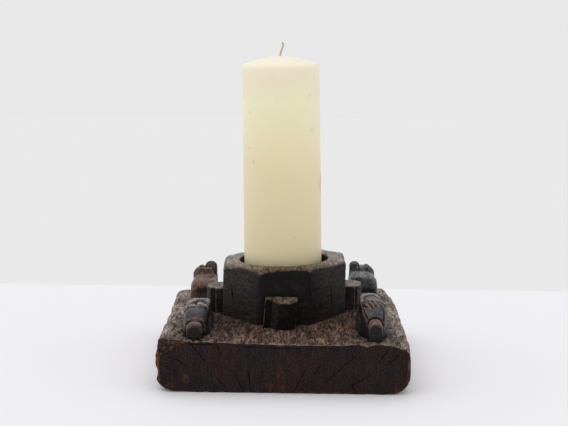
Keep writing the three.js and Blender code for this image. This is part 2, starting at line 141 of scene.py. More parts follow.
# Rust-brown heartwood in the front end: middle across, middle height, reach across, reach upwards
RUST_PATCHES = (
    (-82, 14, 4, 8), (-9, 5, 15, 5), (-3, 17, 5, 13), (49, 42, 5, 2), (98, 3, 12, 4), (107, 17, 2.5, 8),
    (-97, 5, 9, 5), (20, 1, 90, 2), (-60, 1, 40, 2),
)

# Dark stains on the plank's top, and painted shade where it meets the forms: middle across, middle along,
# reach across, reach along, strength
STAINS_AND_SHADE = (
    (-48, -46, 30, 46, 1), (-24, -68, 24, 18, 0.7), (50, -30, 16, 30, 0.5), (-88, -92, 16, 22, 0.6),
    (62, -74, 10, 22, 0.5), (96, 60, 8, 20, 0.3), (-88, 70, 6, 24, 0.7), (-60, -88, 8, 14, 0.5),
    (98, -84, 9, 16, 0.6),
)

# Where the top is bleached and painted lighter, as light falls on its outer strips: from how far out on the
# left and on the right, and over what width
BLEACH_AND_LIGHT_FROM = (56, 66)
BLEACH_AND_LIGHT_OVER = 36

# How far dust lies out from the foot of a form
DUST_REACH = 9

# The forms that dust gathers against
STANDING_FORMS = (
    "octagonal_cup", "front_lug", "rear_lug", "left_lug", "right_lug",
    "front_left_figure", "front_right_figure", "rear_left_figure", "rear_right_figure",
)

# Drying cracks in the front end of the plank, as (x, z) of their two ends
FRONT_CRACKS = (
    ((-80, 44.3), (-64, 24.7)), ((-95.1, 31.1), (-80, 21.8)), ((-102.7, 24.1), (-88.4, 16.5)),
    ((-57.4, 45.5), (-52.3, 31.7)), ((-29.5, 21.7), (-27.2, 0.9)), ((-42.1, 19.8), (-33.5, 1.6)),
    ((-56.4, 13.5), (-47.9, 4)), ((20, 23.3), (8.2, -0.3)), ((32.6, 26.1), (25.2, 15.6)),
    ((64.3, 36.9), (34.6, 8.8)), ((89.8, 40.8), (78.4, 25.9)), ((97.1, 34.4), (86.4, 25.2)),
    ((74.8, 18), (53.2, 4.7)), ((57.3, 9.1), (62.6, -0.4)),
)
CRACK_WIDTH = 0.75
CRACK_DEPTH = 9

# Splits in the plank's top, each from a start to an end
TOP_CRACKS = (
    ((93, -87, 45), (106.5, -77, 44)), ((99, 71, 46), (104, 77, 45)), ((70, -101, 44), (79, -86, 45)),
)
TOP_CRACK_WIDTH = 2.4
SHORT_CRACK_DEPTH = 6

# Every crack's wedge: length of its straight stretches, how far they kink, how far above the wood it starts
CRACK_STEP = 2
CRACK_KINK = 0.3
CRACK_ABOVE = 1.5

# Angle from which an edge of a cracked piece is shaded sharp
CRACK_EDGE = math.radians(50)

# The groove along the foot of the left side: its height, half its width and its depth
SIDE_GROOVE = (16.5, 8, 3.2)

# Cup and lugs
CUP_CENTRE = (0, 4)
CUP_FLATS = 110.5
RIM_HEIGHT = 95.4
WELL_RADIUS = 40.25
WELL_DEPTH = 41
WELL_LEAN = math.radians(1.5)
WELL_OFFSET = -0.8
FRONT_LUG_LEAN = 2
FRONT_POST_START = 60.2

# The cup's front left arris: its place, how far round it the faces shift, and their shifts at rim and foot
CUP_ARRIS = (-22.9, -51.25)
ARRIS_REACH = 22
ARRIS_SHIFTS = (1.4, -2)

# The front post's slanting top: how far it falls, over how far forward, from what height, over what height
POST_SLOPE = (3.2, 5.4, 62, 7)

# Face size of the fine skins
CUP_SKIN = 0.8
LUG_SKIN = 0.5
FIGURE_SKIN = 0.55

# Fine cracks on the cup's faces: start, end, width
CUP_CRACKS = (
    ((-52.6, -21.6, 77), (-46.9, -27.2, 75.5), 1.6), ((-46.9, -27.2, 75.5), (-46.3, -27.8, 61.9), 1.9),
    ((41.8, -32.4, 76.5), (42.4, -31.8, 59.6), 1.3), ((32.4, -41.8, 68.1), (31.6, -42.6, 57), 1.1),
    ((27, -47.1, 75.2), (40.5, -33.6, 77.2), 0.8),
)

# How far the rim is broken down at its outer edge: direction in degrees, depth, reach in degrees
RIM_BREAKS = (
    (-90, 0.8, 26), (-113, 2.5, 15), (-135, 0.7, 26), (-157, 3.8, 20), (-45, 1, 30), (-67, 0.5, 12),
    (180, 2.5, 32), (0, 2, 40), (135, 3, 40), (45, 1.5, 40), (90, 2.5, 40),
)

# Knife lines on a head: points on the surface, then width and depth, which is below zero for a raised lip
FRONT_LEFT_LINES = (
    (((-80.3, -46.6, 62.4), (-78.4, -41.3, 62.6), (-76.2, -37, 62.6), (-73, -36.7, 62.6),
      (-70.1, -42.1, 62.5), (-67.5, -48.3, 62), (-66, -47.4, 59.3)), 2.6, 2.6),
    (((-77.4, -47.1, 62.6), (-76, -67.2, 64)), 1.4, 1.3),
    (((-85, -69.8, 60.7), (-83.2, -69.3, 62.8), (-79.8, -65.6, 63.9), (-76.3, -71.3, 64)), 1.5, 1.4),
    (((-75, -54, 62.6), (-70.8, -50.8, 62.6), (-67.8, -68.7, 63.8), (-66.6, -68.5, 62.5)), 1.5, 1.4),
    (((-83.5, -89.4, 53.4), (-81, -89.9, 55.8), (-77.1, -92.9, 57.5), (-72.9, -92.3, 57.4),
      (-70.1, -89.6, 55.9), (-68.3, -89.4, 53.7), (-67.6, -89.4, 50.6)), 1.4, 1.5),
    (((-81.1, -88.4, 57.1), (-75, -88.4, 58.5), (-70.8, -87.9, 57.8)), 1.2, -0.7),
)

# Tints on a head: pale dust with painted highlights, tan wear, and painted shade; points on the surface, then
# reach and strength
FRONT_LEFT_TINTS = {
    "dust_and_light": (
        (((-86.7, -66, 61.5), (-82, -53, 62.8), (-77, -56, 63), (-74.4, -46, 62.8), (-69.5, -52, 62.8),
          (-66.5, -63, 62)), 2.6, 1),
        (((-84, -36, 62), (-79, -27, 62.5), (-68, -27, 62.5), (-66, -38, 62)), 5, 0.7),
        (((-87, -52, 58), (-85.5, -74, 57), (-84.5, -86, 53)), 2.4, 0.5),
    ),
    "tan": (
        (((-81.1, -88.4, 57.1), (-75, -88.4, 58.5), (-70.8, -87.9, 57.8)), 1.6, 0.9),
        (((-84.5, -66, 62), (-83.5, -69, 63.2)), 1.6, 0.5), (((-77, -95, 56.5), (-71, -95.5, 56.3)), 3, 0.9),
    ),
    "stain_and_shade": (
        (((-67, -78, 58), (-67, -96, 50)), 4, 0.8), (((-82, -93, 55), (-80, -99, 54.5)), 2.5, 0.7),
        (((-81, -101, 48.5), (-71, -101, 48.5)), 6.5, 0.8), (((-81, -98.5, 54.5), (-70, -100, 54)), 3, 0.8),
    ),
}

FRONT_RIGHT_LINES = (
    (((69.4, -65.3, 71.7), (70.8, -47.6, 70.1), (73.7, -42.1, 70.2), (77.7, -39, 70.2), (81.2, -43.3, 69.9),
      (84.8, -45.7, 68.2)), 2, 1.9),
    (((68.2, -70.6, 67.9), (70.8, -78.6, 68.5)), 1.5, 1.7),
    (((72.9, -73.7, 70.9), (75.8, -81, 68.8)), 1.5, 1.8),
    (((75.9, -65.5, 71.3), (78.7, -79.1, 69.7)), 1.5, 1.8),
    (((80.5, -65.8, 71.1), (83, -78.9, 69.1)), 1.5, 1.8),
    (((82, -66, 70.8), (87.5, -68.9, 67.5)), 1.4, 1.5),
    (((84.2, -78.8, 68.4), (85.6, -82.5, 64.3), (84.4, -88, 59.3)), 1.5, 1),
    (((68.2, -75.5, 66.8), (69.4, -83.4, 63), (72.1, -89.5, 59.5)), 1.5, 1),
    (((71.6, -89.9, 55.9), (72.7, -89.7, 59.6), (75.7, -89.7, 61.5), (78.7, -89.6, 61.8), (81.8, -89.6, 60.3),
      (84, -89.4, 57.8), (85.1, -89, 54.6)), 1.3, 1.3),
)

# The front right head's pale tints hold painted highlights, and its dark tints are painted shade
FRONT_RIGHT_TINTS = {
    "dust_and_light": (
        (((67.5, -60, 68.5), (67, -48, 68), (70, -36, 69.5), (80, -31, 69.5), (87, -42, 67), (89, -62, 65)),
         3.2, 0.85),
        (((70.5, -80, 65), (73, -88, 60.5)), 2, 0.5), (((82.5, -78, 68.3), (82.8, -87, 61)), 1.6, 0.4),
        (((89.5, -62, 66), (89, -84, 57)), 2.2, 0.9),
    ),
    "tan": (
        (((67.6, -73, 67.5), (69.6, -79.5, 67.8)), 1.3, 0.9),
        (((71.6, -74.5, 70.5), (74.5, -81.6, 68.2)), 1.1, 1),
        (((74.6, -67, 71.3), (77.4, -80, 69.5)), 1.1, 1), (((79.2, -67, 71.1), (81.7, -80, 69)), 1.1, 1),
        (((71, -58, 70.5), (83, -56, 70)), 9, 0.3),
        (((72.1, -96.5, 55), (73, -94.5, 58.3), (76, -94.9, 60.6), (79, -94.4, 60.8), (82.2, -93.6, 58.8)),
         2.6, 0.95),
        (((74.5, -99, 59.4), (81, -99, 59.2)), 2.6, 0.6),
    ),
    "stain_and_shade": (
        (((85.5, -78, 65), (85.5, -90, 56)), 4, 0.85), (((72, -100, 51), (84, -100, 51)), 6, 0.5),
        (((74, -96, 60.5), (80, -96.4, 61)), 1.6, 0.8),
    ),
}

# The rear left head's pale tints hold painted highlights, and its dark tints paint shade on its lower face
REAR_LEFT_TINTS = {
    "dust_and_light": (
        (((-88.5, 31, 64), (-88, 31, 48)), 3, 0.35), (((-64.5, 45, 67), (-64.5, 62, 67)), 2.5, 0.6),
        (((-78, 62, 79), (-69, 61, 74)), 7, 0.4),
    ),
    "tan": ((((-86, 34, 64), (-70, 34, 65)), 4, 0.4),),
    "stain_and_shade": ((((-81, 31, 57), (-70, 31, 57)), 6.5, 1), (((-81, 31, 48.5), (-70, 31, 48.5)), 9, 1)),
}

REAR_RIGHT_LINES = (
    (((63.5, 52.2, 70.6), (66.3, 35.3, 73), (67.9, 31.2, 70.4)), 1.6, 1),
    (((67.1, 58, 76.8), (67.6, 56, 74)), 1.4, 1), (((72.3, 58, 77), (72.3, 56, 74)), 1.6, 1.2),
    (((79.8, 58.4, 75.5), (79.6, 56, 73)), 1.6, 1),
)

# The rear right head's pale tints hold painted highlights, and its dark tints paint shade on its ears and
# lower face
REAR_RIGHT_TINTS = {
    "dust_and_light": (
        (((62, 47, 72), (83, 46, 73)), 3.6, 0.7), (((61, 32.5, 70), (61, 32.5, 50)), 3, 0.4),
        (((72, 31, 69), (84, 31, 69)), 5, 0.3),
    ),
    "tan": ((((72, 60, 77), (80, 60, 77)), 2.2, 0.4),),
    "stain_and_shade": (
        (((67, 57, 73), (83, 57, 73)), 4.4, 0.85), (((75, 31, 59), (85, 31, 59)), 6.5, 1),
        (((75, 31, 50), (85, 31, 50)), 10, 1), (((66, 36, 70), (69, 31, 68)), 2, 0.9),
    ),
}

# How dark the painted shade is in a knife line, and how wide beside the line's own width
GROOVE_SHADE = 0.92
GROOVE_SPREAD = 0.8

# The nape stands proud of the ears: left and right at its foot, then at its crest, foot and crest height
REAR_LEFT_NAPE = (-87.6, -66.4, -82.6, -70.8, 65, 73.3)
REAR_RIGHT_NAPE = (63.8, 86, 66, 80.5, 71, 76.8)
NAPE_PROUD = 1.8
REAR_EAR_FACE = 60.7

# Candle and wick: their frame stands on the candle's foot and leans with the well
CANDLE_TOP_RADIUS = 35.1
CANDLE_RADIUS = 35.7
CANDLE_HEIGHT = 225
CANDLE_OFFSET = -1
CANDLE_FOOT_GAP = 0.3
CANDLE_FOOT_ROUND = 1.5
CANDLE_SHOULDER_ROUND = 5
CANDLE_DOME_RISE = 6.2
CANDLE_BOW = 0.45
CANDLE_SHOULDER_TURN = 0.42 * math.pi

# Faces of the candle: their height, how many go round it, and points over foot, foot round, shoulder and dome
CANDLE_FACE = 1.2
CANDLE_SIDES = 184
CANDLE_POINTS = (24, 5, 9, 30)

# Heights above the table between which the wax is painted from a darker warm foot to a paler top, as light
# falls
WAX_TONE_FROM = 90.0
WAX_TONE_TO = 282.0

# How soiled the wax is in a pit and on the scuff
PIT_GRIME = 0.35
SCUFF_GRIME = 0.5

# Pits and a nick in the front of the wax: place across, height, half its width, half its height, depth
WAX_PITS = (
    (-32.6, 230, 1.4, 1.4, 0.5), (-32.8, 198, 1.3, 1.3, 0.5), (19.5, 246, 1.5, 1.5, 0.45),
    (22.7, 215, 1.4, 1.4, 0.45), (-29, 186, 1.3, 3.2, 0.7), (8, 120, 1.5, 1.5, 0.4),
)

# Brown scuff down the wax: place across, height, half its width, half its height
WAX_SCUFF = (32.2, 166, 3, 16)

# Wick: its path as places across and heights above the candle, and its three strands
WICK_PATH = ((0, -5), (0, 1.6), (1.44, 5.5), (3.2, 10), (1.9, 11.9))
STRANDS = 3
STRAND_TURNS = 5
STRAND_RADIUS = 0.46
STRAND_OFFSET = 0.42
STRAND_SIDES = 8
WICK_STATIONS = 60
WICK_SMOOTHING = 12

# From which share of its length the wick is thinner, and how much of its thickness is left there
WICK_TIP = (0.97, 0.7)

# Settings that a kind of node has unless its own say otherwise
USUAL_SETTINGS = {"Mix": {"data_type": "RGBA"}, "Math": {"operation": "MULTIPLY"}}


# Noise and mesh helpers

def lattice_value(cell, seed):
    """A repeatable number from -1 to 1 for every whole-numbered cell."""
    mixed = cell[:, 0] * 374761393 + cell[:, 1] * 668265263 + cell[:, 2] * 1440662683 + seed * 974634777
    mixed = mixed & 0xFFFFFFFF
    mixed = ((mixed ^ (mixed >> 13)) * 1274126177) & 0xFFFFFFFF
    return ((mixed ^ (mixed >> 16)) & 0xFFFF) / 32767.5 - 1


def noise(points, size, seed):
    """Smooth noise from -1 to 1 over points in millimetres. size is a swell's width along X, Y and Z."""
    place = points / np.broadcast_to(np.asarray(size, float), (3,))
    cell = np.floor(place).astype(np.int64)
    part = place - cell
    part = part * part * (3 - 2 * part)
    total = np.zeros(len(points))
    for corner in np.ndindex(2, 2, 2):
        step = np.array(corner)
        weight = np.prod(np.where(step, part, 1 - part), axis=1)
        total += weight * lattice_value(cell + step, seed)
    return total


def layered(points, size, seed, layers=3):
    """Noise with finer and weaker noise on top of it."""
    size = np.broadcast_to(np.asarray(size, float), (3,))
    return sum(noise(points, size / 2 ** i, seed + i) / 2 ** i for i in range(layers)) / 1.6


def scallops(points, size, seed):
    """How deep a point lies in the shallow dents that an adze or a gouge leaves, from 0 on a crest to 1."""
    place = points / np.broadcast_to(np.asarray(size, float), (3,))
    cell = np.floor(place).astype(np.int64)
    nearest = np.full(len(points), 9.0)
    for step in np.ndindex(3, 3, 3):
        other = cell + np.array(step) - 1
        jitter = np.stack([lattice_value(other, seed + axis) for axis in range(3)], axis=1)
        nearest = np.minimum(nearest, ((place - other - 0.5 - 0.4 * jitter) ** 2).sum(1))
    return np.clip(1 - nearest, 0, 1)


def fade(distance, width):
    """1 at no distance, easing to 0 at the width and beyond."""
    share = np.clip(1 - np.abs(distance) / width, 0, 1)
    return share * share * (3 - 2 * share)


def spot(across, up, middle_across, middle_up, reach_across, reach_up):
    """1 in the middle of an oval, easing to 0 at its outline."""
    return fade(np.hypot((across - middle_across) / reach_across, (up - middle_up) / reach_up), 1)


def share_of(value, start, end):
    """How far a value is from the start to the end, from 0 to 1."""
    return np.clip((value - start) / (end - start), 0, 1)


def new_object(name, data):
    """An object in the scene, from a mesh, a lamp or a camera."""
    made = bpy.data.objects.new(name, data)
    bpy.context.scene.collection.objects.link(made)
    return made


def mesh_from(name, points, faces):
    """A mesh in metres from points in millimetres and faces that all have the same number of corners."""
    mesh = bpy.data.meshes.new(name)
    faces = np.asarray(faces, np.int32)
    corners = faces.shape[1]
    mesh.vertices.add(len(points))
    mesh.vertices.foreach_set("co", (np.asarray(points, float) * MM).ravel().astype(np.float32))
    mesh.loops.add(faces.size)
    mesh.loops.foreach_set("vertex_index", faces.ravel())
    mesh.polygons.add(len(faces))
    mesh.polygons.foreach_set("loop_start", np.arange(0, faces.size, corners, dtype=np.int32))
    mesh.update(calc_edges=True)
    mesh.validate()
    smooth(mesh)
    return mesh


def smooth(mesh):
    """Shades every face smooth."""
    mesh.polygons.foreach_set("use_smooth", np.ones(len(mesh.polygons), bool))


def read(items, name, width=3, kind=np.float32):
    """One property of a mesh's points, edges or faces, as a row of numbers for each."""
    flat = np.empty(len(items) * width, kind)
    items.foreach_get(name, flat)
    return flat.reshape(-1, width)


def places(mesh):
    """A mesh's points in millimetres."""
    return read(mesh.vertices, "co").astype(float) / MM


def put_places(mesh, points):
    """Moves a mesh's points to places in millimetres."""
    mesh.vertices.foreach_set("co", (points * MM).ravel().astype(np.float32))
    mesh.update()


def normals(mesh):
    """The way that each point of a mesh faces."""
    return read(mesh.vertex_normals, "vector").astype(float)


def edge_ends(mesh):
    """The two points that each edge of a mesh joins."""
    return read(mesh.edges, "vertices", 2, np.int32)


def ring_quads(rings, count):
    """Faces between closed rings of points that follow one another."""
    here = np.arange(rings - 1)[:, None] * count + np.arange(count)
    beside = np.arange(rings - 1)[:, None] * count + (np.arange(count) + 1) % count
    return np.stack([here, beside, beside + count, here + count], 2).reshape(-1, 4)


def smoothed(points, ends, rounds):
    """Points drawn towards the middle of their neighbours, a number of times."""
    count = np.bincount(ends.ravel(), minlength=len(points))[:, None]
    for _ in range(rounds):
        near = np.stack([
            np.bincount(ends[:, 0], points[ends[:, 1], axis], len(points))
            + np.bincount(ends[:, 1], points[ends[:, 0], axis], len(points))
            for axis in range(3)
        ], axis=1)
        points = points * 0.4 + near / np.maximum(count, 1) * 0.6
    return points


def mark(mesh, name, values):
    """Stores one number for each point, which the finish reads."""
    layer = mesh.attributes.get(name) or mesh.attributes.new(name, "FLOAT", "POINT")
    layer.data.foreach_set("value", np.asarray(values, np.float32))


def mark_ridges(mesh, rounds, depth):
    """Marks worn ridges above zero and hollows below it, from how far smoothing would move each point."""
    points = places(mesh)
    sunk = ((points - smoothed(points, edge_ends(mesh), rounds)) * normals(mesh)).sum(1)
    sunk = smoothed(np.stack([sunk] * 3, axis=1), edge_ends(mesh), 1)[:, 0]
    mark(mesh, "ridge", np.clip(sunk / depth, -1, 1))


def skinned_copy(node, name, skin):
    """A copy of a frame node, remade as an even skin of small faces, skin millimetres wide."""
    made = new_object(name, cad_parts[node].data.copy())
    made.data.materials.clear()
    weld = made.modifiers.new("weld", "WELD")
    weld.merge_threshold = 0.01 * MM
    remesh = made.modifiers.new("skin", "REMESH")
    remesh.mode = "VOXEL"
    remesh.voxel_size = skin * MM
    apply_modifiers(made)
    smooth(made.data)
    return made


def apply_modifiers(made):
    """Turns an object's mesh into what its modifiers make of it."""
    graph = bpy.context.evaluated_depsgraph_get()
    shaped = bpy.data.meshes.new_from_object(made.evaluated_get(graph))
    shaped.materials.clear()
    made.modifiers.clear()
    made.data = shaped


def placed(made, body, slot, *nodes):
    """Fixes a finished piece to its body and hides the nodes that it stands for; the slot of its finish is
    not used.
    """
    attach(made, body)
    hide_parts(*nodes)


# Drying cracks

def volume_of(points, faces):
    """Volume inside triangles that all look outwards, and below zero where they look inwards."""
    a, b, c = points[faces[:, 0]], points[faces[:, 1]], points[faces[:, 2]]
    return (a * np.cross(b, c)).sum() / 6


def crack_blade(name, start, end, outward, width, depth, seed):
    """A thin jagged wedge along a line on the surface, widest in the middle, for a boolean to take out."""
    start, end, outward = (np.array(value, float) for value in (start, end, outward))
    steps = max(4, round(np.linalg.norm(end - start) / CRACK_STEP))
    share = np.linspace(0, 1, steps + 1)
    across = np.cross(end - start, outward)
    across = across / np.linalg.norm(across)
    cells = np.stack([np.arange(steps + 1), np.full(steps + 1, seed), np.zeros(steps + 1, int)], axis=1)
    kink = lattice_value(cells, seed) * CRACK_KINK
    path = start + (end - start) * share[:, None] + across * kink[:, None]
    swell = 0.35 + 0.65 * np.sin(np.pi * share) ** 0.5
    half = across * (width / 2 * swell)[:, None]
    rings = np.stack([
        path + outward * CRACK_ABOVE + half,
        path + outward * CRACK_ABOVE - half,
        path - outward * (depth * swell)[:, None],
    ], axis=1)
    points = rings.reshape(-1, 3)
    ring = np.arange(steps) * 3
    faces = [np.array([[0, 2, 1], [steps * 3, steps * 3 + 1, steps * 3 + 2]])]
    for i in range(3):
        j = (i + 1) % 3
        faces.append(np.stack([ring + i, ring + j, ring + j + 3], axis=1))
        faces.append(np.stack([ring + i, ring + j + 3, ring + i + 3], axis=1))
    faces = np.concatenate(faces)
    if volume_of(points, faces) < 0:
        faces = faces[:, ::-1]
    return new_object(name, mesh_from(name, points, faces))


def crack_open(made, cracks, outward, width, depth):
    """Opens each crack, a start and an end on the surface, in a closed mesh."""
    blades = [
        crack_blade(f"{made.name}_crack_{i}", start, end, outward, width, depth, i)
        for i, (start, end) in enumerate(cracks)
    ]
    for blade in blades:
        cut = made.modifiers.new(blade.name, "BOOLEAN")
        cut.operation = "DIFFERENCE"
        cut.solver = "MANIFOLD"
        cut.object = blade
    apply_modifiers(made)
    for blade in blades:
        bpy.data.objects.remove(blade)


def keep_cracks_sharp(mesh):
    """Shades a cracked mesh smooth, apart from the cracks' edges."""
    smooth(mesh)
    mesh.set_sharp_from_angle(angle=CRACK_EDGE)


# Plank

def ground_height(x, y):
    """Height of the hewn top: highest in the middle and twisted a little along the rear."""
    across = x / (PLANK_WIDTH / 2)
    along = np.cos(np.pi * y / PLANK_DEPTH) ** 4
    rise = along * (1 - across ** 4) * (GROUND_RISE + GROUND_SIDE_RISE * across)
    return PLANK_EDGE_HEIGHT + rise + GROUND_TWIST * across * (y / PLANK_DEPTH + 0.5)


def plank_half_width(y):
    """Half the plank's width before its sides bulge, less at its rounded corners."""
    corner = np.where(y < 0, FRONT_CORNER, REAR_CORNER)
    into = np.clip(np.abs(y) - (PLANK_DEPTH / 2 - corner), 0, corner)
    return PLANK_WIDTH / 2 - corner + np.sqrt(corner ** 2 - into ** 2)


def plank_side(share, y):
    """A point up the right side, from the underside at share 0 to the top at share 1, as (x, z)."""
    half = plank_half_width(y)
    foot, shoulder = PLANK_FOOT_ROUND, PLANK_SHOULDER_ROUND
    lengths = np.array([foot * np.pi / 2, PLANK_EDGE_HEIGHT - foot - shoulder, shoulder * np.pi / 2])
    run = share * lengths.sum()
    foot_turn = np.clip(run / lengths[0], 0, 1) * np.pi / 2
    rise = np.clip(run - lengths[0], 0, lengths[1])
    turn = np.clip((run - lengths[0] - lengths[1]) / lengths[2], 0, 1) * np.pi / 2
    x = half - foot * (1 - np.sin(foot_turn)) - shoulder * (1 - np.cos(turn))
    z = foot * (1 - np.cos(foot_turn)) + rise + shoulder * np.sin(turn)
    return x - PLANK_BULGE * (2 * z / PLANK_EDGE_HEIGHT - 1) ** 2, z


def plank_skin():
    """The plank as one closed skin: a loop of points across it at each station, and a grid over each end."""
    across = round(PLANK_WIDTH / PLANK_GRID)
    up = round(1.25 * PLANK_EDGE_HEIGHT / PLANK_GRID)
    stations = np.linspace(-PLANK_DEPTH / 2, PLANK_DEPTH / 2, round(PLANK_DEPTH / PLANK_GRID) + 1)[:, None]
    side_x, side_z = plank_side(np.linspace(0, 1, up + 1)[None, :], stations)
    top_share = np.linspace(1, -1, across + 1)[None, :]
    high = share_of(side_z, PLANK_FOOT_ROUND, PLANK_EDGE_HEIGHT)
    right_z = side_z + (ground_height(side_x, stations) - PLANK_EDGE_HEIGHT) * high
    left_z = side_z + (ground_height(-side_x, stations) - PLANK_EDGE_HEIGHT) * high
    top_x = side_x[:, -1:] * top_share
    foot_x = -side_x[:, :1] * top_share
    loops = np.concatenate([
        np.stack([side_x, right_z], 2),
        np.stack([top_x, ground_height(top_x, stations)], 2)[:, 1:-1],
        np.stack([-side_x, left_z], 2)[:, ::-1],
        np.stack([foot_x, 0 * foot_x], 2)[:, 1:-1],
    ], axis=1)
    count = loops.shape[1]
    points = np.empty((len(stations), count, 3))
    points[:, :, 0] = loops[:, :, 0]
    points[:, :, 1] = stations
    points[:, :, 2] = loops[:, :, 1]
    faces = [ring_quads(len(stations), count)]
    cloud = [points.reshape(-1, 3)]
    size = points.shape[0] * count
    for station, first in ((0, True), (len(stations) - 1, False)):
        ring = station * count + np.arange(count)
        grid = np.empty((up + 1, across + 1), np.int64)
        grid[:, 0] = ring[: up + 1]
        grid[up, :] = ring[up: up + across + 1]
        grid[:, across] = ring[up + across: 2 * up + across + 1][::-1]
        grid[0, :] = np.concatenate([ring[:1], ring[2 * up + across:][::-1]])
        inner = end_grid(points[station], grid - station * count, up, across)
        grid[1:-1, 1:-1] = size + np.arange((up - 1) * (across - 1)).reshape(up - 1, across - 1)
        size += len(inner)
        cloud.append(inner)
        quads = np.stack([grid[:-1, :-1], grid[:-1, 1:], grid[1:, 1:], grid[1:, :-1]], 2).reshape(-1, 4)
        faces.append(quads if first else quads[:, ::-1])
    return np.concatenate(cloud), np.concatenate(faces)


def end_grid(ring, grid, up, across):
    """Inner points of a grid over an end of the plank, spread evenly between its four sides."""
    low, high = ring[grid[0, :]], ring[grid[up, :]]
    first, last = ring[grid[:, 0]], ring[grid[:, across]]
    s = np.linspace(0, 1, across + 1)[None, 1:-1, None]
    t = np.linspace(0, 1, up + 1)[1:-1, None, None]
    flat = (1 - t) * low[None, 1:-1] + t * high[None, 1:-1]
    flat = flat + (1 - s) * first[1:-1, None] + s * last[1:-1, None]
    flat = flat - (1 - s) * (1 - t) * low[0] - s * (1 - t) * low[-1]
    flat = flat - (1 - s) * t * high[0] - s * t * high[-1]
    return flat.reshape(-1, 3)


def front_lip(x):
    """How far the top has fallen at the very front."""
    return np.interp(x, *np.array(FRONT_LIP).T)


def edge_drop(points):
    """How far the top falls away along its torn front edge."""
    back = points[:, 1] + PLANK_DEPTH / 2
    torn = 0.7 * layered(points, (3, 60, 60), 25, 2) + 0.2
    return front_lip(points[:, 0]) * fade(back, LIP_REACH) + torn * fade(back, TORN_REACH)


def worn_foot(points):
    """How far the front end's lower edge is chipped up off the floor."""
    reach, ease, height = FOOT_CHIPS
    back = points[:, 1] + PLANK_DEPTH / 2
    chips = np.clip(0.4 + 0.8 * noise(points, (5, 60, 60), 28), 0, 1.2)
    return chips * np.clip((reach - back) / ease, 0, 1) * np.clip(1 - points[:, 2] / height, 0, 1)


def rotted(points):
    """Cuts the front left corner back to a slanting face full of hollows, and says how rotten it is where."""
    facing = np.array(ROT_FACING)
    over = (points - ROT_POINT) @ facing
    over = over + 0.7 * noise(points, 6, 30)
    rot = np.clip(over / 1.2 + 1.8, 0, 1)
    hollow = ROT_HOLLOW * np.clip(layered(points, (3.4, 8, 4), 29), -0.35, 0.8)
    return points - facing * (np.clip(over, 0, None) + hollow * rot)[:, None], rot


def edge_bites(points):
    """How far the sides are chewed in near the top edge."""
    near_top = np.clip(1 - (PLANK_EDGE_HEIGHT - points[:, 2]) / BITE_HEIGHT, 0, 1)
    bite = np.zeros(len(points))
    for side, middle, reach, depth in EDGE_BITES:
        edge = fade(points[:, 0] * side - PLANK_WIDTH / 2, BITE_REACH)
        bite += side * depth * fade(points[:, 1] - middle, reach) * edge
    return bite * near_top * (1 + 0.5 * noise(points, (60, 5, 9), 27))


def top_relief(points):
    """Adze dents, torn fibre, pits and broad swells, deepest where the top is chewed."""
    x, y, z = points.T
    middle_x, middle_y, reach_x, reach_y, more_fibre, more_pits = CHEWED
    chewed = fade(x - middle_x, reach_x) * fade(y - middle_y, reach_y)
    swirl = points + FIBRE_SWIRL * np.stack([noise(points, 22, 21), noise(points, 26, 22), 0 * x], axis=1)
    dents = 1 - scallops(swirl, (17, 12, 60), 3)
    fibre = layered(swirl, (2.8, 14, 9), 5, 2)
    pits = np.clip(layered(swirl, (4, 14, 9), 6, 2) - 0.15, 0, 1)
    sunk = ADZE_DEPTH * dents + (FIBRE_DEPTH + more_fibre * chewed) * fibre
    sunk += (PIT_DEPTH + more_pits * chewed) * pits
    return sunk + SWELL_DEPTH * (layered(points, 30, 11) - 1)


def side_relief(points):
    """Weathered fibre and shallow dents, with a groove along the foot of the left side."""
    x, y, z = points.T
    height, reach, depth = SIDE_GROOVE
    groove = depth * fade(z - height, reach) * np.clip(0.7 - y / 150, 0.3, 1)
    fibre = 0.4 * layered(points, (6, 40, 3.5), 31) + 0.6 * layered(points, (60, 7, 9), 35)
    dents = 0.5 * (0.6 - scallops(points, (60, 26, 13), 33))
    return fibre + dents + np.where(x < 0, groove, 0)


def end_relief(points):
    """Saw strokes and pores, and at the front a ragged line torn out under the lip."""
    x, y, z = points.T
    left, right, below, reach, depth = UNDER_LIP
    lip = ground_height(x, y) - front_lip(x)
    torn = depth * fade(z - lip + below, reach) * np.clip(noise(points, (9, 60, 60), 45) + 0.8, 0, 1)
    torn *= (x > left) & (x < right) & (y < 0)
    return 0.1 * noise(points, (2.6, 50, 60), 41) + 0.2 * layered(points, 2.6, 43) + torn


def plank_relief(points, facing):
    """How far each point of the plank sinks in, by the way its face looks."""
    top = np.clip(facing[:, 2], 0, 1) ** 2
    under = np.clip(-facing[:, 2], 0, 1) ** 2
    sunk = top * top_relief(points) + facing[:, 0] ** 2 * side_relief(points)
    sunk += facing[:, 1] ** 2 * end_relief(points)
    return sunk + under * 0.15 * (layered(points, (6, 40, 6), 51) + 1)


def worn_plank(points, facing):
    """The plank's points with all relief and wear, kept within the solids' box, and how rotten each is."""
    points = points - facing * plank_relief(points, facing)[:, None]
    height = np.clip(points[:, 2] / ground_height(points[:, 0], points[:, 1]), 0, 1)
    points[:, 2] += worn_foot(points) - edge_drop(points) * height ** 3
    points[:, 0] -= edge_bites(points)
    points, rot = rotted(points)
    to_edge = plank_half_width(points[:, 1]) - PLANK_BULGE - np.abs(points[:, 0])
    frayed = fade(to_edge, 2.6) * np.clip(2 * noise(points, (60, 6, 60), 37), 0, 1)
    frayed *= points[:, 2] > TOP_FROM
    low, high = (np.array(corner) / MM for corner in CAD_BOX)
    return np.clip(points, low, high), np.maximum(rot, 0.9 * frayed)


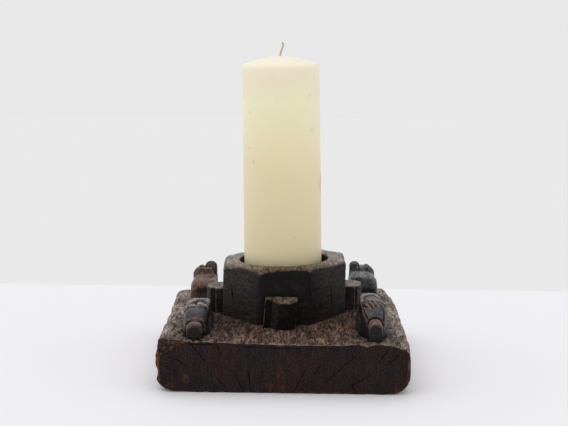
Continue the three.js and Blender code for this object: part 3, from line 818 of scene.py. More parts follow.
def mark_plank(mesh, points, facing, rot):
    """Marks what the plank's finishes read: dust at the forms' feet, rot, stains with painted shade, bleached
    edges painted lighter where light falls, and rust.
    """
    x, y, z = points.T
    mark(mesh, "crevice", near_forms(points))
    mark(mesh, "rot", rot)
    # Dark stains, and painted shade beside the cup and the heads
    dark_patches = np.zeros(len(points))
    for *place, strength in STAINS_AND_SHADE:
        dark_patches = np.maximum(dark_patches, strength * spot(x, y, *place))
    mark(mesh, "stain_and_shade", dark_patches)
    # Painted light: the outer strips and the rear of the top are lighter, the front left and the upright
    # sides less so
    outer = np.clip((np.abs(x) - np.where(x < 0, *BLEACH_AND_LIGHT_FROM)) / BLEACH_AND_LIGHT_OVER, 0, 1)
    outer *= 1 - 0.9 * fade(y + PLANK_DEPTH / 2, 34) * (x < 0)
    outer = np.maximum(outer, 0.6 * np.clip((y + 40) / 120, 0, 1))
    mark(mesh, "bleach_and_light", outer * (1 - 0.6 * np.clip(3 * np.abs(facing[:, 0]) - 1.8, 0, 1)))
    mark(mesh, "rust", sum(spot(x, z, *place) for place in RUST_PATCHES))


def on_end_grain(mesh):
    """Whether each face is on a sawn end or deep in a crack of it, and clear of the rotted corner."""
    facing = read(mesh.polygons, "normal")
    centre = read(mesh.polygons, "center") / MM
    x, y, z = centre.T
    deep = (ground_height(x, y) - z > DEEP_INSIDE) & (z > 1)
    deep &= plank_half_width(y) - np.abs(x) > DEEP_INSIDE
    at_end = np.abs(y) > PLANK_DEPTH / 2 - CRACK_DEPTH - DEEP_INSIDE
    at_end &= (np.abs(facing[:, 1]) > 0.6) | deep
    return at_end & ((centre - ROT_POINT) @ np.array(ROT_FACING) < -1)


def hewn_plank():
    """The plank: adzed and weathered on top, sawn across its ends, split at its edges and cracked."""
    points, faces = plank_skin()
    if volume_of(points, faces[:, :3]) + volume_of(points, faces[:, [0, 2, 3]]) < 0:
        faces = faces[:, ::-1]
    made = new_object("hewn_plank", mesh_from("hewn_plank", points, faces))
    mesh = made.data
    facing = normals(mesh)
    points, rot = worn_plank(points, facing)
    put_places(mesh, points)
    mark_ridges(mesh, rounds=5, depth=0.3)
    mark_plank(mesh, points, facing, rot)
    end_y = -PLANK_DEPTH / 2
    cracks = [((x0, end_y, z0), (x1, end_y, z1)) for (x0, z0), (x1, z1) in FRONT_CRACKS]
    crack_open(made, cracks, (0, -1, 0), CRACK_WIDTH, CRACK_DEPTH)
    crack_open(made, TOP_CRACKS, (0, 0, 1), TOP_CRACK_WIDTH, SHORT_CRACK_DEPTH)
    keep_cracks_sharp(made.data)
    made.data.materials.append(hewn_hardwood())
    made.data.materials.append(sawn_end_grain())
    made.data.polygons.foreach_set("material_index", on_end_grain(made.data).astype(np.int32))
    placed(made, "carved_wood", "hewn_wood", "base_block")


def near_forms(points):
    """1 against the foot of the cup, the lugs and the heads, down to 0 where the ground is clear of them."""
    corners, faces = [], []
    for node in STANDING_FORMS:
        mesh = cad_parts[node].data
        start = len(corners)
        corners.extend(vertex.co.copy() for vertex in mesh.vertices)
        faces.extend([start + corner for corner in face.vertices] for face in mesh.polygons)
    tree = BVHTree.FromPolygons(corners, faces)
    near = np.zeros(len(points))
    for i in np.nonzero(points[:, 2] > TOP_FROM)[0]:
        distance = tree.find_nearest(Vector(points[i]) * MM, DUST_REACH * MM)[3]
        if distance is not None:
            near[i] = 1 - distance / (DUST_REACH * MM)
    return near


# Carved forms on the plank

def rubbed(made, rounds, spread, seed):
    """Rubs the arrises of a form down, more in some places than in others."""
    mesh = made.data
    points = places(mesh)
    soft = smoothed(points, edge_ends(mesh), rounds)
    share = np.clip(0.55 + 0.6 * noise(points, spread, seed), 0.1, 1)
    return points + (soft - points) * share[:, None]


def gap_to_line(points, line):
    """Each point's distance to a line of straight stretches."""
    line = np.array(line, float)
    gap = np.full(len(points), np.inf)
    for start, end in zip(line[:-1], line[1:]):
        run = end - start
        share = np.clip((points - start) @ run / (run @ run), 0, 1)
        gap = np.minimum(gap, np.linalg.norm(points - start - share[:, None] * run, axis=1))
    return gap


def cut_lines(points, facing, lines):
    """Draws a knife along each line: a groove as wide and deep as the line says."""
    for line, width, depth in lines:
        points = points - facing * (depth * fade(gap_to_line(points, line), width))[:, None]
    return points


def broken_rim(points, to_face):
    """How far the rim's outer edge is broken down at each point, more in some directions than in others."""
    turn = np.degrees(np.arctan2(points[:, 1] - CUP_CENTRE[1], points[:, 0] - CUP_CENTRE[0]))
    drop = np.zeros(len(points))
    for way, depth, reach in RIM_BREAKS:
        drop += depth * fade((turn - way + 180) % 360 - 180, reach)
    uneven = 1 + 0.35 * noise(points, 7, 73) + 0.3 * noise(points, 3, 74)
    return drop * uneven * fade(CUP_FLATS / 2 - to_face, 5.5)


def worn_cup(points, facing):
    """The cup's points with pared faces, gouge marks down the well, a broken rim and one arris drawn over."""
    x, y = points[:, 0] - CUP_CENTRE[0], points[:, 1] - CUP_CENTRE[1]
    to_face = np.maximum(np.maximum(np.abs(x), np.abs(y)), (np.abs(x) + np.abs(y)) * math.sqrt(0.5))
    inside = np.hypot(x, y) < WELL_RADIUS + 1.5
    upright = 1 - np.abs(facing[:, 2])
    top = np.clip(facing[:, 2], 0, 1) ** 2
    strokes = 0.2 * noise(points, (16, 16, 2.4), 63) + 0.25 * layered(points, 18, 65) - 0.2
    gouge = 0.7 * (1 - scallops(points, (7, 7, 22), 67))
    rough = 0.6 * layered(points, (2.6, 5, 4), 69) + 0.4 * layered(points, 11, 71)
    sunk = upright * np.where(inside, gouge, strokes) + top * rough
    points = points - facing * sunk[:, None]
    near_top = share_of(points[:, 2], PLANK_EDGE_HEIGHT, RIM_HEIGHT)
    points[:, 2] -= broken_rim(points, to_face) * near_top ** 4
    arris = np.hypot(points[:, 0] - CUP_ARRIS[0], points[:, 1] - CUP_ARRIS[1])
    at_rim, at_foot = ARRIS_SHIFTS
    points[:, 0] += (at_foot + (at_rim - at_foot) * near_top) * fade(arris, ARRIS_REACH)
    return points


def carved_cup():
    """The eight-sided cup: faces pared smooth, a rubbed and chipped rim, and fine cracks down its faces."""
    made = skinned_copy("octagonal_cup", "carved_cup", CUP_SKIN)
    mesh = made.data
    put_places(mesh, rubbed(made, rounds=2, spread=12, seed=61))
    points = worn_cup(places(mesh), normals(mesh))
    put_places(mesh, points)
    mark_ridges(mesh, rounds=8, depth=0.35)
    x, y, z = points.T
    # Painted light and shade: the rim's front is browner in the candle's shade, its back and sides paler, and
    # the left and right faces lighter
    mark(mesh, "bleach_and_light", np.clip(0.5 + y / 70 + np.abs(x) / 90, 0, 1))
    mark(mesh, "dust_and_light", np.clip(-x / 60 - 0.3, 0, 0.22) + np.clip(x / 80 - 0.3, 0, 0.17))
    mark(mesh, "tan", 0.25 + 0.6 * fade(z - 93, 5) * (x < -20))
    for start, end, width in CUP_CRACKS:
        outward = math.copysign(math.sqrt(0.5), start[0]), -math.sqrt(0.5), 0
        crack_open(made, [(start, end)], outward, width, SHORT_CRACK_DEPTH)
    keep_cracks_sharp(made.data)
    made.data.materials.append(pared_hardwood("pared_cup_hardwood", shine=0.14))
    placed(made, "carved_wood", "cup_wood", "octagonal_cup")


def lean_post(points):
    """Slopes the top of the front lug's post forward, draws its foot left and pares its left side back."""
    x, y, z = points.T
    fall, forward, height, over = POST_SLOPE
    z -= fall * np.clip((-FRONT_POST_START - y) / forward, 0, 1) * np.clip((z - height) / over, 0, 1)
    x -= FRONT_LUG_LEAN * (1 - np.clip((z - PLANK_EDGE_HEIGHT) / 26, 0, 1))
    x += 0.9 * np.clip((-8 - x) / 6, 0, 1)


def carved_lug(node, finish):
    """One of the stepped lugs against the faces of the cup, with its thin arrises rubbed light."""
    made = skinned_copy(node, "carved_" + node, LUG_SKIN)
    mesh = made.data
    put_places(mesh, rubbed(made, rounds=3, spread=7, seed=81))
    points, facing = places(mesh), normals(mesh)
    top = np.clip(facing[:, 2], 0, 1) ** 2
    sunk = 0.12 * noise(points, (7, 7, 2), 83) - 0.15 + 0.5 * top * layered(points, (2, 5, 4), 85)
    points = points - facing * sunk[:, None]
    # Painted light: tops pale, the front lug's browner, and faces lighter grey, most on the sides; on the
    # front lug only a painted sheen on the post's left facet
    bleach_and_light, tan = 0.8, 0.1
    dust_and_light = 0.24 + 0.4 * np.clip(np.abs(facing[:, 0]) * 1.5 - 0.5, 0, 1)
    if node == "front_lug":
        bleach_and_light, tan = 0.1, 0.9
        dust_and_light = np.clip(-facing[:, 0] * 1.2 - 0.3, 0, 0.14) * (points[:, 1] < -FRONT_POST_START)
        lean_post(points)
    put_places(mesh, points)
    mark_ridges(mesh, rounds=5, depth=0.2)
    mark(mesh, "bleach_and_light", np.full(len(points), bleach_and_light))
    mark(mesh, "tan", np.full(len(points), tan))
    mark(mesh, "dust_and_light", dust_and_light)
    mesh.materials.append(finish)
    placed(made, "carved_wood", "lug_wood", node)


def proud_nape(points, facing, nape):
    """Sets the ears back from the nape, whose face stands proud of them with slanting sides."""
    foot_left, foot_right, crest_left, crest_right, foot, crest = nape
    rise = (points[:, 2] - foot) / (crest - foot)
    left = foot_left + (crest_left - foot_left) * rise
    right = foot_right + (crest_right - foot_right) * rise
    out = np.maximum(np.maximum(left - points[:, 0], points[:, 0] - right), points[:, 2] - crest)
    face = np.clip(-facing[:, 1] * 2 - 0.6, 0, 1) * fade(points[:, 1] - REAR_EAR_FACE, 4) * (rise > 0.05)
    points = points.copy()
    points[:, 1] += NAPE_PROUD * np.clip(out / 0.8, 0, 1) * face
    return points


def tint(mesh, name, points, lines):
    """Marks a tint along lines on the surface, each with its reach and its strength."""
    total = np.zeros(len(points))
    for line, reach, strength in lines:
        total = np.maximum(total, strength * fade(gap_to_line(points, line), reach))
    mark(mesh, name, total)


def carved_figure(node, tones, seed, tints, lines=(), nape=None):
    """An animal's head, carved with a knife and polished by hands."""
    made = skinned_copy(node, "carved_" + node, FIGURE_SKIN)
    mesh = made.data
    put_places(mesh, rubbed(made, rounds=2, spread=8, seed=seed))
    points, facing = places(mesh), normals(mesh)
    grooves = tuple((line, width * GROOVE_SPREAD, GROOVE_SHADE) for line, width, depth in lines if depth > 0)
    # Tints: pale dust with painted highlights, tan wear, and painted shade, also in the knife lines
    tint(mesh, "dust_and_light", points, tints["dust_and_light"])
    tint(mesh, "tan", points, tints["tan"])
    tint(mesh, "stain_and_shade", points, tints["stain_and_shade"] + grooves)
    # Painted shade round the foot, where the head meets the plank
    above = points[:, 2] - ground_height(points[:, 0], points[:, 1])
    mark(mesh, "foot", fade(above, 9) * np.clip(1.4 - 2 * facing[:, 2], 0, 1))
    if nape:
        points = proud_nape(points, facing, nape)
    points = cut_lines(points, facing, lines)
    cuts = 0.35 * (0.6 - scallops(points, (6, 9, 6), seed + 2))
    sunk = cuts + 0.2 * layered(points, (2, 6, 2), seed + 4) - 0.35
    put_places(mesh, points - facing * sunk[:, None])
    mark_ridges(mesh, rounds=6, depth=0.25)
    mesh.materials.append(handled_hardwood("handled_hardwood_" + node, *tones))
    placed(made, "carved_wood", "figure_wood", node)


# Candle

def candle_frame():
    """From the candle's own frame, in millimetres on its foot, to the object's."""
    mouth = Matrix.Translation((WELL_OFFSET, CUP_CENTRE[1], RIM_HEIGHT)) @ Matrix.Rotation(-WELL_LEAN, 4, "Y")
    return mouth @ Matrix.Translation((CANDLE_OFFSET, 0, CANDLE_FOOT_GAP - WELL_DEPTH))


def in_candle_frame(points):
    """Points of the candle's own frame, bowed a little to the right, in the object's."""
    turn = np.array(candle_frame())
    bow = CANDLE_BOW * np.sin(np.pi * np.clip(points[:, 2] / CANDLE_HEIGHT, 0, 1))
    points = points + np.stack([bow, 0 * bow, 0 * bow], axis=1)
    return points @ turn[:3, :3].T + turn[:3, 3]


def candle_profile():
    """Radius and height from the middle of the foot, up the side and over the shoulder to the wick."""
    flat_points, foot_points, shoulder_points, dome_points = CANDLE_POINTS
    foot_turn = np.linspace(-np.pi / 2, 0, foot_points)
    foot_r = CANDLE_RADIUS - CANDLE_FOOT_ROUND * (1 - np.cos(foot_turn))
    foot_h = CANDLE_FOOT_ROUND * (1 + np.sin(foot_turn))
    flat = np.linspace(0, CANDLE_RADIUS - CANDLE_FOOT_ROUND, flat_points)[:-1]
    shoulder_z = CANDLE_HEIGHT - CANDLE_DOME_RISE - CANDLE_SHOULDER_ROUND
    side = np.arange(CANDLE_FOOT_ROUND + CANDLE_FACE, shoulder_z - CANDLE_FACE / 2, CANDLE_FACE)
    turn = np.linspace(0, CANDLE_SHOULDER_TURN, shoulder_points)
    shoulder_r = CANDLE_RADIUS - CANDLE_SHOULDER_ROUND + CANDLE_SHOULDER_ROUND * np.cos(turn)
    shoulder_h = shoulder_z + CANDLE_SHOULDER_ROUND * np.sin(turn)
    share = np.linspace(0, 1, dome_points)[1:]
    dome_r = shoulder_r[-1] * (1 - share)
    dome_h = shoulder_h[-1] + (CANDLE_HEIGHT - shoulder_h[-1]) * np.sin(np.pi / 2 * share)
    radius = np.concatenate([flat, foot_r, 0 * side + CANDLE_RADIUS, shoulder_r, dome_r])
    height = np.concatenate([0 * flat, foot_h, side, shoulder_h, dome_h])
    return radius * (1 - (1 - CANDLE_TOP_RADIUS / CANDLE_RADIUS) * height / CANDLE_HEIGHT), height


def poured_candle():
    """The pillar of wax: smooth, very slightly uneven, with pits, a nick and a scuff where it was handled."""
    radius, height = candle_profile()
    turn = np.linspace(0, 2 * np.pi, CANDLE_SIDES, endpoint=False)
    rings = np.stack([
        radius[1:-1, None] * np.cos(turn), radius[1:-1, None] * np.sin(turn),
        height[1:-1, None] + 0 * turn,
    ], axis=2).reshape(-1, 3)
    points = np.concatenate([rings, [[0, 0, 0], [0, 0, height[-1]]]])
    foot, tip, last = len(rings), len(rings) + 1, len(rings) - CANDLE_SIDES
    faces = ring_quads(len(radius) - 2, CANDLE_SIDES).tolist()
    faces += [(foot, (i + 1) % CANDLE_SIDES, i) for i in range(CANDLE_SIDES)]
    faces += [(tip, last + i, last + (i + 1) % CANDLE_SIDES) for i in range(CANDLE_SIDES)]
    ease = 0.12 * (layered(points, (40, 40, 70), 91) - 1) + 0.04 * (layered(points, 9, 93) - 1)
    away = points * [1, 1, 0] / np.maximum(np.hypot(points[:, 0], points[:, 1]), 1)[:, None]
    points = in_candle_frame(points + away * ease[:, None])
    front = away[:, 1] < 0
    darkening = np.zeros(len(points))
    for *place, depth in WAX_PITS:
        pit = spot(points[:, 0], points[:, 2], *place) * front
        points = points - away * (depth * pit)[:, None]
        darkening = np.maximum(darkening, PIT_GRIME * pit)
    scuff = spot(points[:, 0], points[:, 2], *WAX_SCUFF) * front
    mesh = bpy.data.meshes.new("poured_candle")
    mesh.from_pydata((points * MM).tolist(), [], faces)
    mesh.validate()
    smooth(mesh)
    mark(mesh, "darkening", np.maximum(darkening, SCUFF_GRIME * scuff))
    made = new_object("poured_candle", mesh)
    mesh.materials.append(candle_wax())
    placed(made, "candle", "wax", "candle")


def wick_run():
    """Points along the wick's bent path, with their share of its length and the way that it goes there."""
    path = np.array([(x, 0, CANDLE_HEIGHT + z) for x, z in WICK_PATH])
    share = np.linspace(0, 1, WICK_STATIONS)
    knots = np.concatenate([[0], np.cumsum(np.linalg.norm(np.diff(path, axis=0), axis=1))])
    run = np.stack([np.interp(share, knots / knots[-1], path[:, axis]) for axis in range(3)], axis=1)
    for _ in range(WICK_SMOOTHING):
        run[1:-1] = (run[:-2] + run[1:-1] * 2 + run[2:]) / 4
    along = np.gradient(run, axis=0)
    return run, share, along / np.linalg.norm(along, axis=1)[:, None]


def braided_wick():
    """Three strands of cotton plaited round the wick's bent path."""
    run, share, along = wick_run()
    side = np.array([0, 1.0, 0])
    lean = np.cross(side, along)
    turn = np.linspace(0, 2 * np.pi, STRAND_SIDES, endpoint=False)
    ring = np.cos(turn)[None, :, None] * side + np.sin(turn)[None, :, None] * lean[:, None]
    thick = STRAND_RADIUS * np.where(share > WICK_TIP[0], WICK_TIP[1], 1)
    points, faces = [], []
    for strand in range(STRANDS):
        phase = 2 * np.pi * (share * STRAND_TURNS + strand / STRANDS)
        middle = run + STRAND_OFFSET * (np.cos(phase)[:, None] * side + np.sin(phase)[:, None] * lean)
        points.append((middle[:, None] + thick[:, None, None] * ring).reshape(-1, 3))
        start = strand * WICK_STATIONS * STRAND_SIDES
        last = start + (WICK_STATIONS - 1) * STRAND_SIDES
        faces += (start + ring_quads(WICK_STATIONS, STRAND_SIDES)).tolist()
        faces.append(tuple(range(start + STRAND_SIDES - 1, start - 1, -1)))
        faces.append(tuple(range(last, last + STRAND_SIDES)))
    mesh = bpy.data.meshes.new("braided_wick")
    mesh.from_pydata((in_candle_frame(np.concatenate(points)) * MM).tolist(), [], faces)
    mesh.validate()
    smooth(mesh)
    made = new_object("braided_wick", mesh)
    mesh.materials.append(waxed_cotton())
    placed(made, "candle", "cotton", "wick")


# Finishes

def colour(code):
    """A colour written as an sRGB hex code, as the linear values that a shader takes."""
    parts = [int(code[i:i + 2], 16) / 255 for i in (1, 3, 5)]
    linear = [part / 12.92 if part <= 0.04045 else ((part + 0.055) / 1.055) ** 2.4 for part in parts]
    return (*linear, 1)


def add(tree, kind, inputs=None, stops=(), **settings):
    """Adds a node with its settings, fills its inputs by name or number, and links those given as nodes."""
    node = tree.nodes.new("ShaderNode" + kind)
    for name, value in {**USUAL_SETTINGS.get(kind, {}), **settings}.items():
        setattr(node, name, value)
    for key, value in (inputs or {}).items():
        if isinstance(key, int):
            socket = node.inputs[key]
        else:
            socket = next(one for one in node.inputs if one.name == key and one.enabled)
        if isinstance(value, bpy.types.Node):
            value = next(one for one in value.outputs if one.enabled)
        if isinstance(value, bpy.types.NodeSocket):
            tree.links.new(value, socket)
        else:
            socket.default_value = colour(value) if isinstance(value, str) else value
    for i, (place, shade) in enumerate(stops):
        stop = node.color_ramp.elements[i] if i < 2 else node.color_ramp.elements.new(place)
        stop.position = place
        stop.color = colour(shade)
    return node


def new_finish(name, *marks):
    """An empty material, its points as millimetres in the object's own frame, and the marks that it reads."""
    made = bpy.data.materials.new(name)
    made.use_nodes = True
    tree = made.node_tree
    tree.nodes.clear()
    place = add(tree, "TexCoord").outputs["Object"]
    place = add(tree, "VectorMath", {0: place, "Scale": 1 / MM}, operation="SCALE")
    read_marks = [add(tree, "Attribute", attribute_name=layer).outputs["Fac"] for layer in marks]
    return made, tree, place, *read_marks


def mottled(tree, place, size, detail, roughness=0.5):
    """An uneven pattern whose grains have a size in millimetres: width, depth and height."""
    scaled = add(tree, "VectorMath", {0: place, 1: [1 / length for length in size]}, operation="MULTIPLY")
    return add(tree, "TexNoise", {
        "Vector": scaled, "Scale": 1.0, "Detail": detail, "Roughness": roughness})


def laid_over(tree, under, over, value, start, end, most=1.0, where=None):
    """Lays a tone over another: none of it where the value is at the start, most of it from the end on."""
    share = add(tree, "MapRange", {"Value": value, "From Min": start, "From Max": end, "To Max": most})
    if where is not None:
        share = add(tree, "Math", {0: share, 1: where})
    return add(tree, "Mix", {"Factor": share, "A": under, "B": over})


def end_finish(tree, shade, relief, strength, depth, look):
    """Ends a finish: fine relief as deep as depth in millimetres, and the shader with its look."""
    bump = add(tree, "Bump", {"Height": relief, "Strength": strength, "Distance": depth * MM})
    shader = add(tree, "BsdfPrincipled", {"Base Color": shade, "Normal": bump, **look})
    add(tree, "OutputMaterial", {"Surface": shader})


def hewn_hardwood():
    """Old tropical hardwood, adzed and left bare: dry torn fibre, bleached and painted lighter at the edges,
    dusty in hollows, with stains and painted shade.
    """
    made, tree, place, ridge, crevice, bleach_and_light, rot, stain_and_shade = new_finish(
        "adzed_bare_hardwood", "ridge", "crevice", "bleach_and_light", "rot", "stain_and_shade")

    # Fibre that runs from front to back and winds a little, in dark and light strips
    warp = mottled(tree, place, (11, 30, 16), 1.0)
    bent = add(tree, "VectorMath", {
        0: warp.outputs["Color"], 1: (6, 16, 0), 2: place}, operation="MULTIPLY_ADD")
    fibre = mottled(tree, bent, (1.5, 8, 3), 5.0, 0.8)
    patch = mottled(tree, bent, (9, 26, 12), 4.0)
    grain = add(tree, "Mix", {"Factor": 0.28, "A": fibre, "B": patch})
    # The fibre's tone in painted shade, and at the bleached edges, which are painted lighter
    shaded_wood = add(tree, "ValToRGB", {"Fac": grain}, stops=(
        (0.42, "#0F0A08"), (0.49, "#442E26"), (0.57, "#8E7464")))
    lit_wood = add(tree, "ValToRGB", {"Fac": grain}, stops=(
        (0.41, "#1F1714"), (0.49, "#72675F"), (0.58, "#BEB4AC")))
    wood = add(tree, "Mix", {"Factor": bleach_and_light, "A": shaded_wood, "B": lit_wood})

    # Strands where the reddish heartwood shows
    strand = mottled(tree, bent, (4, 17, 7), 3.0)
    heartwood = add(tree, "ValToRGB", {"Fac": grain}, stops=((0.42, "#160D0A"), (0.58, "#8A5A42")))
    reddish = laid_over(tree, wood, heartwood, strand, 0.52, 0.62, 0.6)

    # Dust against the forms, and old dark stains and painted shade that keep to the hollows between the
    # fibres
    dusty = add(tree, "Mix", {
        "Factor": add(tree, "Math", {0: crevice, 1: 0.4}), "A": reddish, "B": "#54422F"})
    between = add(tree, "MapRange", {"Value": grain, "From Min": 0.58, "From Max": 0.5, "To Min": 0.45})
    stained_and_shaded = add(tree, "Mix", {
        "Factor": add(tree, "Math", {0: stain_and_shade, 1: between}), "A": dusty, "B": "#150E0B"})

    # Pores and hollows near black, ridges worn pale, and the rotted corner reddish brown
    pores = mottled(tree, bent, (2.2, 11, 4), 2.0, 0.6)
    pitted = laid_over(tree, stained_and_shaded, "#17100D", pores, 0.57, 0.62, 0.9)
    hollow = laid_over(tree, pitted, "#120C0A", ridge, -0.12, -0.7, 0.92)
    worn = laid_over(tree, hollow, "#A08A78", ridge, 0.3, 1.0, 0.5)
    decayed = add(tree, "ValToRGB", {"Fac": grain}, stops=(
        (0.44, "#120C0A"), (0.52, "#40271C"), (0.62, "#8A5A3A")))
    rotten = add(tree, "Mix", {"Factor": rot, "A": worn, "B": decayed})
    end_finish(tree, rotten, fibre, 1.0, 1.3, {"Roughness": 0.7, "Specular IOR Level": 0.25})
    return made


def sawn_end_grain():
    """The same wood sawn across: near black from old oil, speckled with pores, with rust-brown heartwood."""
    made, tree, place, ridge, rust = new_finish("sawn_end_grain_hardwood", "ridge", "rust")

    # Pores drawn 1.2 mm wide, coarser than the real ones so that they show, and upright saw strokes
    strokes = mottled(tree, place, (1.3, 30, 12), 3.0, 0.6)
    speckle = mottled(tree, place, (1.2, 1.2, 1.6), 3.0, 0.75)
    patch = mottled(tree, place, (4, 30, 9), 4.0)
    broad = mottled(tree, place, (17, 30, 24), 3.0)
    grain = add(tree, "Mix", {"Factor": 0.72, "A": strokes, "B": speckle})
    black = add(tree, "ValToRGB", {"Fac": grain}, stops=(
        (0.4, "#100C0D"), (0.5, "#1E1819"), (0.6, "#322828")))
    brown = add(tree, "ValToRGB", {"Fac": grain}, stops=(
        (0.4, "#150E0D"), (0.5, "#271A18"), (0.6, "#3C2722")))
    dark = laid_over(tree, black, brown, broad, 0.4, 0.58)

    # Rust-brown heartwood in patches
    heartwood = add(tree, "ValToRGB", {"Fac": grain}, stops=(
        (0.4, "#24150F"), (0.5, "#40261B"), (0.6, "#6E452D")))
    flecked = laid_over(tree, dark, heartwood, patch, 0.42, 0.62, where=rust)

    # Hollows black, and edges rubbed brown in places
    hollow = laid_over(tree, flecked, "#080606", ridge, -0.2, -0.9, 0.9)
    in_places = add(tree, "MapRange", {"Value": patch, "From Min": 0.45, "From Max": 0.6})
    worn = laid_over(tree, hollow, "#6E4A33", ridge, 0.6, 1.0, 0.8, in_places)
    end_finish(tree, worn, speckle, 0.5, 0.4, {"Roughness": 0.65, "Specular IOR Level": 0.12})
    return made


def end_grain_share(tree):
    """1 where a face is cut square across the grain, which runs along Y, and 0 where it follows the grain."""
    across = add(tree, "SeparateXYZ", {0: add(tree, "NewGeometry").outputs["Normal"]}).outputs["Y"]
    across = add(tree, "Math", {0: across}, operation="ABSOLUTE")
    return add(tree, "MapRange", {"Value": across, "From Min": 0.76, "From Max": 0.94})


def pared_hardwood(name, shine):
    """The same wood pared with a chisel: dark and satin on its faces, dry on top, rubbed bare at arrises,
    with painted light and shade.
    """
    made, tree, place, ridge, dust_and_light, bleach_and_light, tan = new_finish(name, "ridge", "dust_and_light", "bleach_and_light", "tan")

    # Dark oiled faces, blackest across the grain and brown in patches
    grain = mottled(tree, place, (2.6, 16, 1.7), 5.0, 0.75)
    patch = mottled(tree, place, (9, 18, 7), 4.0)
    dark = add(tree, "ValToRGB", {"Fac": grain}, stops=(
        (0.38, "#0D0B0B"), (0.5, "#171413"), (0.64, "#292423")))
    oil_and_shade = add(tree, "Mix", {
        "Factor": add(tree, "Math", {0: end_grain_share(tree), 1: 0.85}), "A": dark, "B": "#080606"})
    bare = add(tree, "ValToRGB", {"Fac": grain}, stops=((0.4, "#120C0A"), (0.6, "#302218")))
    brown = laid_over(tree, oil_and_shade, bare, patch, 0.5, 0.66, 0.6)

    # Grey dust and painted light in the grain of the side faces
    dusted_lit_sides = laid_over(tree, brown, "#625C5A", grain, 0.35, 0.6, where=dust_and_light)

    # Tops are dry: pale where bleached and painted light, and brown in painted shade
    shaded_wood = add(tree, "ValToRGB", {"Fac": grain}, stops=(
        (0.4, "#2B2018"), (0.5, "#584735"), (0.6, "#806B55")))
    lit_wood = add(tree, "ValToRGB", {"Fac": grain}, stops=(
        (0.38, "#5C5149"), (0.5, "#887D75"), (0.62, "#ABA199")))
    up = add(tree, "SeparateXYZ", {0: add(tree, "NewGeometry").outputs["Normal"]}).outputs["Z"]
    dried = add(tree, "Mix", {"Factor": bleach_and_light, "A": shaded_wood, "B": lit_wood})
    dry = laid_over(tree, dusted_lit_sides, dried, up, 0.45, 0.9, 0.95)

    # Hollows dark, arrises rubbed grey or tan in places
    hollow = laid_over(tree, dry, "#0D0A09", ridge, -0.15, -0.9, 0.8)
    in_places = add(tree, "MapRange", {"Value": patch, "From Min": 0.42, "From Max": 0.58})
    bared = add(tree, "Mix", {"Factor": tan, "A": "#6C6764", "B": "#8A5E40"})
    worn = laid_over(tree, hollow, bared, ridge, 0.35, 1.0, where=in_places)
    end_finish(tree, worn, grain, 0.6, 0.4, {"Roughness": 0.5, "Specular IOR Level": shine})
    return made


def handled_hardwood(name, deep, tone, side, dirt):
    """The same wood carved and polished by hands: dark in its grain, dusty on top, bared tan at its lips,
    with painted shade and painted highlights.
    """
    made, tree, place, ridge, tan, dust_and_light, stain_and_shade, foot = new_finish(name, "ridge", "tan", "dust_and_light", "stain_and_shade", "foot")

    # Polished grain, with pale dust and painted highlights on it in patches
    grain = mottled(tree, place, (1.1, 9, 1.1), 4.0, 0.7)
    patch = mottled(tree, place, (2.6, 7, 2.6), 3.0)
    broad = mottled(tree, place, (6, 15, 6), 5.0, 0.65)
    body = add(tree, "ValToRGB", {"Fac": grain}, stops=((0.42, deep), (0.58, tone)))
    dusted_and_lit = laid_over(tree, body, "#B0A59E", patch, 0.36, 0.5, where=dust_and_light)

    # Upright faces keep more oil than the tops that hands rub
    # Painted shade: faces turned away from the top take a darker tone than the tops
    up = add(tree, "SeparateXYZ", {0: add(tree, "NewGeometry").outputs["Normal"]}).outputs["Z"]
    oil_and_shade = add(tree, "ValToRGB", {"Fac": grain}, stops=((0.38, "#120D0C"), (0.5, side)))
    shaded = laid_over(tree, dusted_and_lit, oil_and_shade, up, 0.4, 0.05, 0.92)

    # Painted shade along the tints, in the knife lines and round the foot, broad dirty patches, and tan where
    # it is rubbed through
    darkening = add(tree, "Math", {0: stain_and_shade, 1: add(tree, "Math", {0: foot, 1: 0.85})}, operation="MAXIMUM")
    dirty = add(tree, "MapRange", {"Value": broad, "From Min": 0.46, "From Max": 0.62, "To Max": dirt})
    dirt_and_shade = add(tree, "Mix", {
        "Factor": add(tree, "Math", {0: darkening, 1: dirty}, operation="MAXIMUM"), "A": shaded, "B": "#0F0B0A"})
    tanned = laid_over(tree, dirt_and_shade, "#945F3E", patch, 0.38, 0.52, where=tan)

    # Hollows dark, arrises rubbed grey or tan
    hollow = laid_over(tree, tanned, "#0E0A09", ridge, -0.15, -0.8, 0.92)
    bared = add(tree, "ValToRGB", {"Fac": patch}, stops=((0.45, "#7C716D"), (0.54, "#8A5E42")))
    worn = laid_over(tree, hollow, bared, ridge, 0.45, 1.0, 0.4)
    end_finish(tree, worn, grain, 0.35, 0.3, {"Roughness": 0.4, "Specular IOR Level": 0.18})
    return made


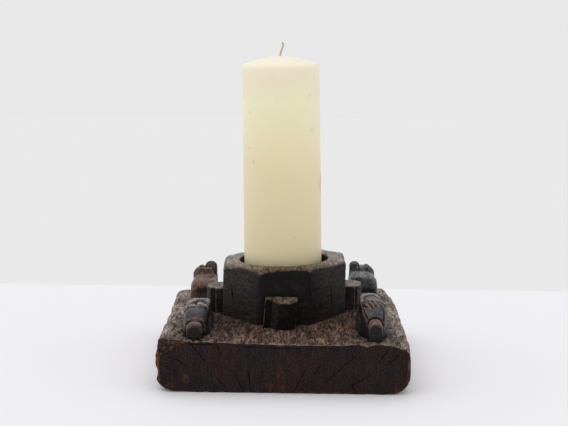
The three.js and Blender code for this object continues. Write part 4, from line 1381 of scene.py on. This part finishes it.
def candle_wax():
    """Poured ivory wax: light sinks in and comes back warm, under a satin skin with faint clouding."""
    made, tree, place, darkening = new_finish("poured_ivory_wax", "darkening")
    cloud = mottled(tree, place, (22, 22, 40), 3.0)
    # Painted light: the wax is paler towards its top and darker towards its foot
    height = add(tree, "SeparateXYZ", {0: place}).outputs["Z"]
    height = add(tree, "MapRange", {
        "Value": height, "From Min": WAX_TONE_FROM, "From Max": WAX_TONE_TO})
    cloud_and_light = add(tree, "Math", {0: cloud, 1: 0.15, 2: height}, operation="MULTIPLY_ADD")
    body = add(tree, "ValToRGB", {"Fac": cloud_and_light}, stops=(
        (0.0, "#E2D6B2"), (0.5, "#EFE1BD"), (0.85, "#FFF4D2"), (1.0, "#F6ECD7")))
    soiled = add(tree, "Mix", {"Factor": darkening, "A": body, "B": "#A98C62"})
    grit = mottled(tree, place, (1.2, 1.2, 1.2), 2.0)
    end_finish(tree, soiled, grit, 0.15, 0.15, {
        "Roughness": 0.42, "IOR": 1.44, "Subsurface Weight": 0.8,
        "Subsurface Radius": (1.0, 0.75, 0.45), "Subsurface Scale": 14 * MM})
    return made


def waxed_cotton():
    """Plaited cotton stiffened with wax: warm off-white, with yarn 0.3 mm wide."""
    made, tree, place = new_finish("plaited_waxed_cotton")
    yarn = mottled(tree, place, (0.3, 0.3, 1.2), 3.0)
    body = add(tree, "ValToRGB", {"Fac": yarn}, stops=((0.3, "#C09A7C"), (0.7, "#EBD4BC")))
    end_finish(tree, body, yarn, 0.4, 0.1, {"Roughness": 0.7, "Specular IOR Level": 0.3})
    return made


# Floor, light and camera

def pale_floor():
    """A painted floor that turns to the wall's tone where the photograph shows the table's far edge."""
    made, tree, place = new_finish("painted_pale_floor")
    back = add(tree, "SeparateXYZ", {0: place}).outputs["Y"]
    tone = laid_over(tree, "#EFEEF2", "#E7E7E7", back, FLOOR_FAR_EDGE - 1, FLOOR_FAR_EDGE + 1)
    shader = add(tree, "BsdfPrincipled", {"Base Color": tone, "Roughness": 0.9, "Specular IOR Level": 0.1})
    add(tree, "OutputMaterial", {"Surface": shader})
    corners = [(x * FLOOR_REACH, y * FLOOR_REACH, 0) for x, y in ((-1, -1), (1, -1), (1, 1), (-1, 1))]
    floor = new_object("floor", mesh_from("floor", corners, [(0, 1, 2, 3)]))
    floor.data.materials.append(made)


def room_light():
    """Even light all round, a pale grey backdrop in sight and in shines, and a broad soft sun."""
    world = bpy.data.worlds.new("studio")
    bpy.context.scene.world = world
    world.use_nodes = True
    tree = world.node_tree
    tree.nodes.clear()
    ray = add(tree, "LightPath").outputs
    seen = add(tree, "Math", {0: ray["Is Camera Ray"], 1: ray["Is Glossy Ray"]}, operation="MAXIMUM")
    seen = add(tree, "Math", {0: seen, 1: ray["Is Transmission Ray"]}, operation="MAXIMUM")
    light = add(tree, "Background", {"Color": "#FFFFFF", "Strength": SKY_LIGHT})
    back = add(tree, "Background", {"Color": "#E8E8E8", "Strength": 1.0})
    add(tree, "OutputWorld", {"Surface": add(tree, "MixShader", {0: seen, 1: light, 2: back})})
    sun = bpy.data.lights.new("overhead", "SUN")
    sun.energy = SUN_LIGHT
    sun.angle = math.radians(SUN_SPREAD)
    new_object("overhead", sun).rotation_euler = [math.radians(turn) for turn in SUN_TURN]


def photo_camera():
    """The photograph's camera, as fitted to the cup, the plank and the candle."""
    lens = bpy.data.cameras.new("photo_view")
    lens.sensor_width = SENSOR_MM
    lens.lens = SENSOR_MM * FOCAL_PIXELS / PHOTO_WIDTH
    lens.clip_start = CAMERA_NEAR
    lens.clip_end = CAMERA_FAR
    camera = new_object("photo_view", lens)
    tilt = Matrix.Rotation(math.radians(90 - CAMERA_TILT), 4, "X")
    roll = Matrix.Rotation(math.radians(CAMERA_ROLL), 4, "Z")
    camera.matrix_world = Matrix.Translation(Vector(CAMERA_PLACE) * MM) @ tilt @ roll
    bpy.context.scene.camera = camera
    bpy.context.scene.view_settings.view_transform = "Standard"


photo_camera()
pale_floor()
room_light()
hewn_plank()
carved_cup()
lug_finish = pared_hardwood("pared_lug_hardwood", shine=0.07)
for lug_name in ("front_lug", "rear_lug", "left_lug", "right_lug"):
    carved_lug(lug_name, lug_finish)

# Each head's tones are the dark of its grain, its polished tone, the painted shade of its side faces and the
# share of dirt
carved_figure(
    "front_left_figure", ("#2A2527", "#504A4D", "#110D0D", 0.35), 101,
    FRONT_LEFT_TINTS, FRONT_LEFT_LINES)
carved_figure(
    "front_right_figure", ("#2A2628", "#5A5459", "#16110F", 0.35), 111,
    FRONT_RIGHT_TINTS, FRONT_RIGHT_LINES)
carved_figure(
    "rear_left_figure", ("#4C3D39", "#957A70", "#6C564F", 0.5), 121,
    REAR_LEFT_TINTS, nape=REAR_LEFT_NAPE)
carved_figure(
    "rear_right_figure", ("#3E3E42", "#85848A", "#55545A", 0.4), 131,
    REAR_RIGHT_TINTS, REAR_RIGHT_LINES, REAR_RIGHT_NAPE)
poured_candle()
braided_wick()
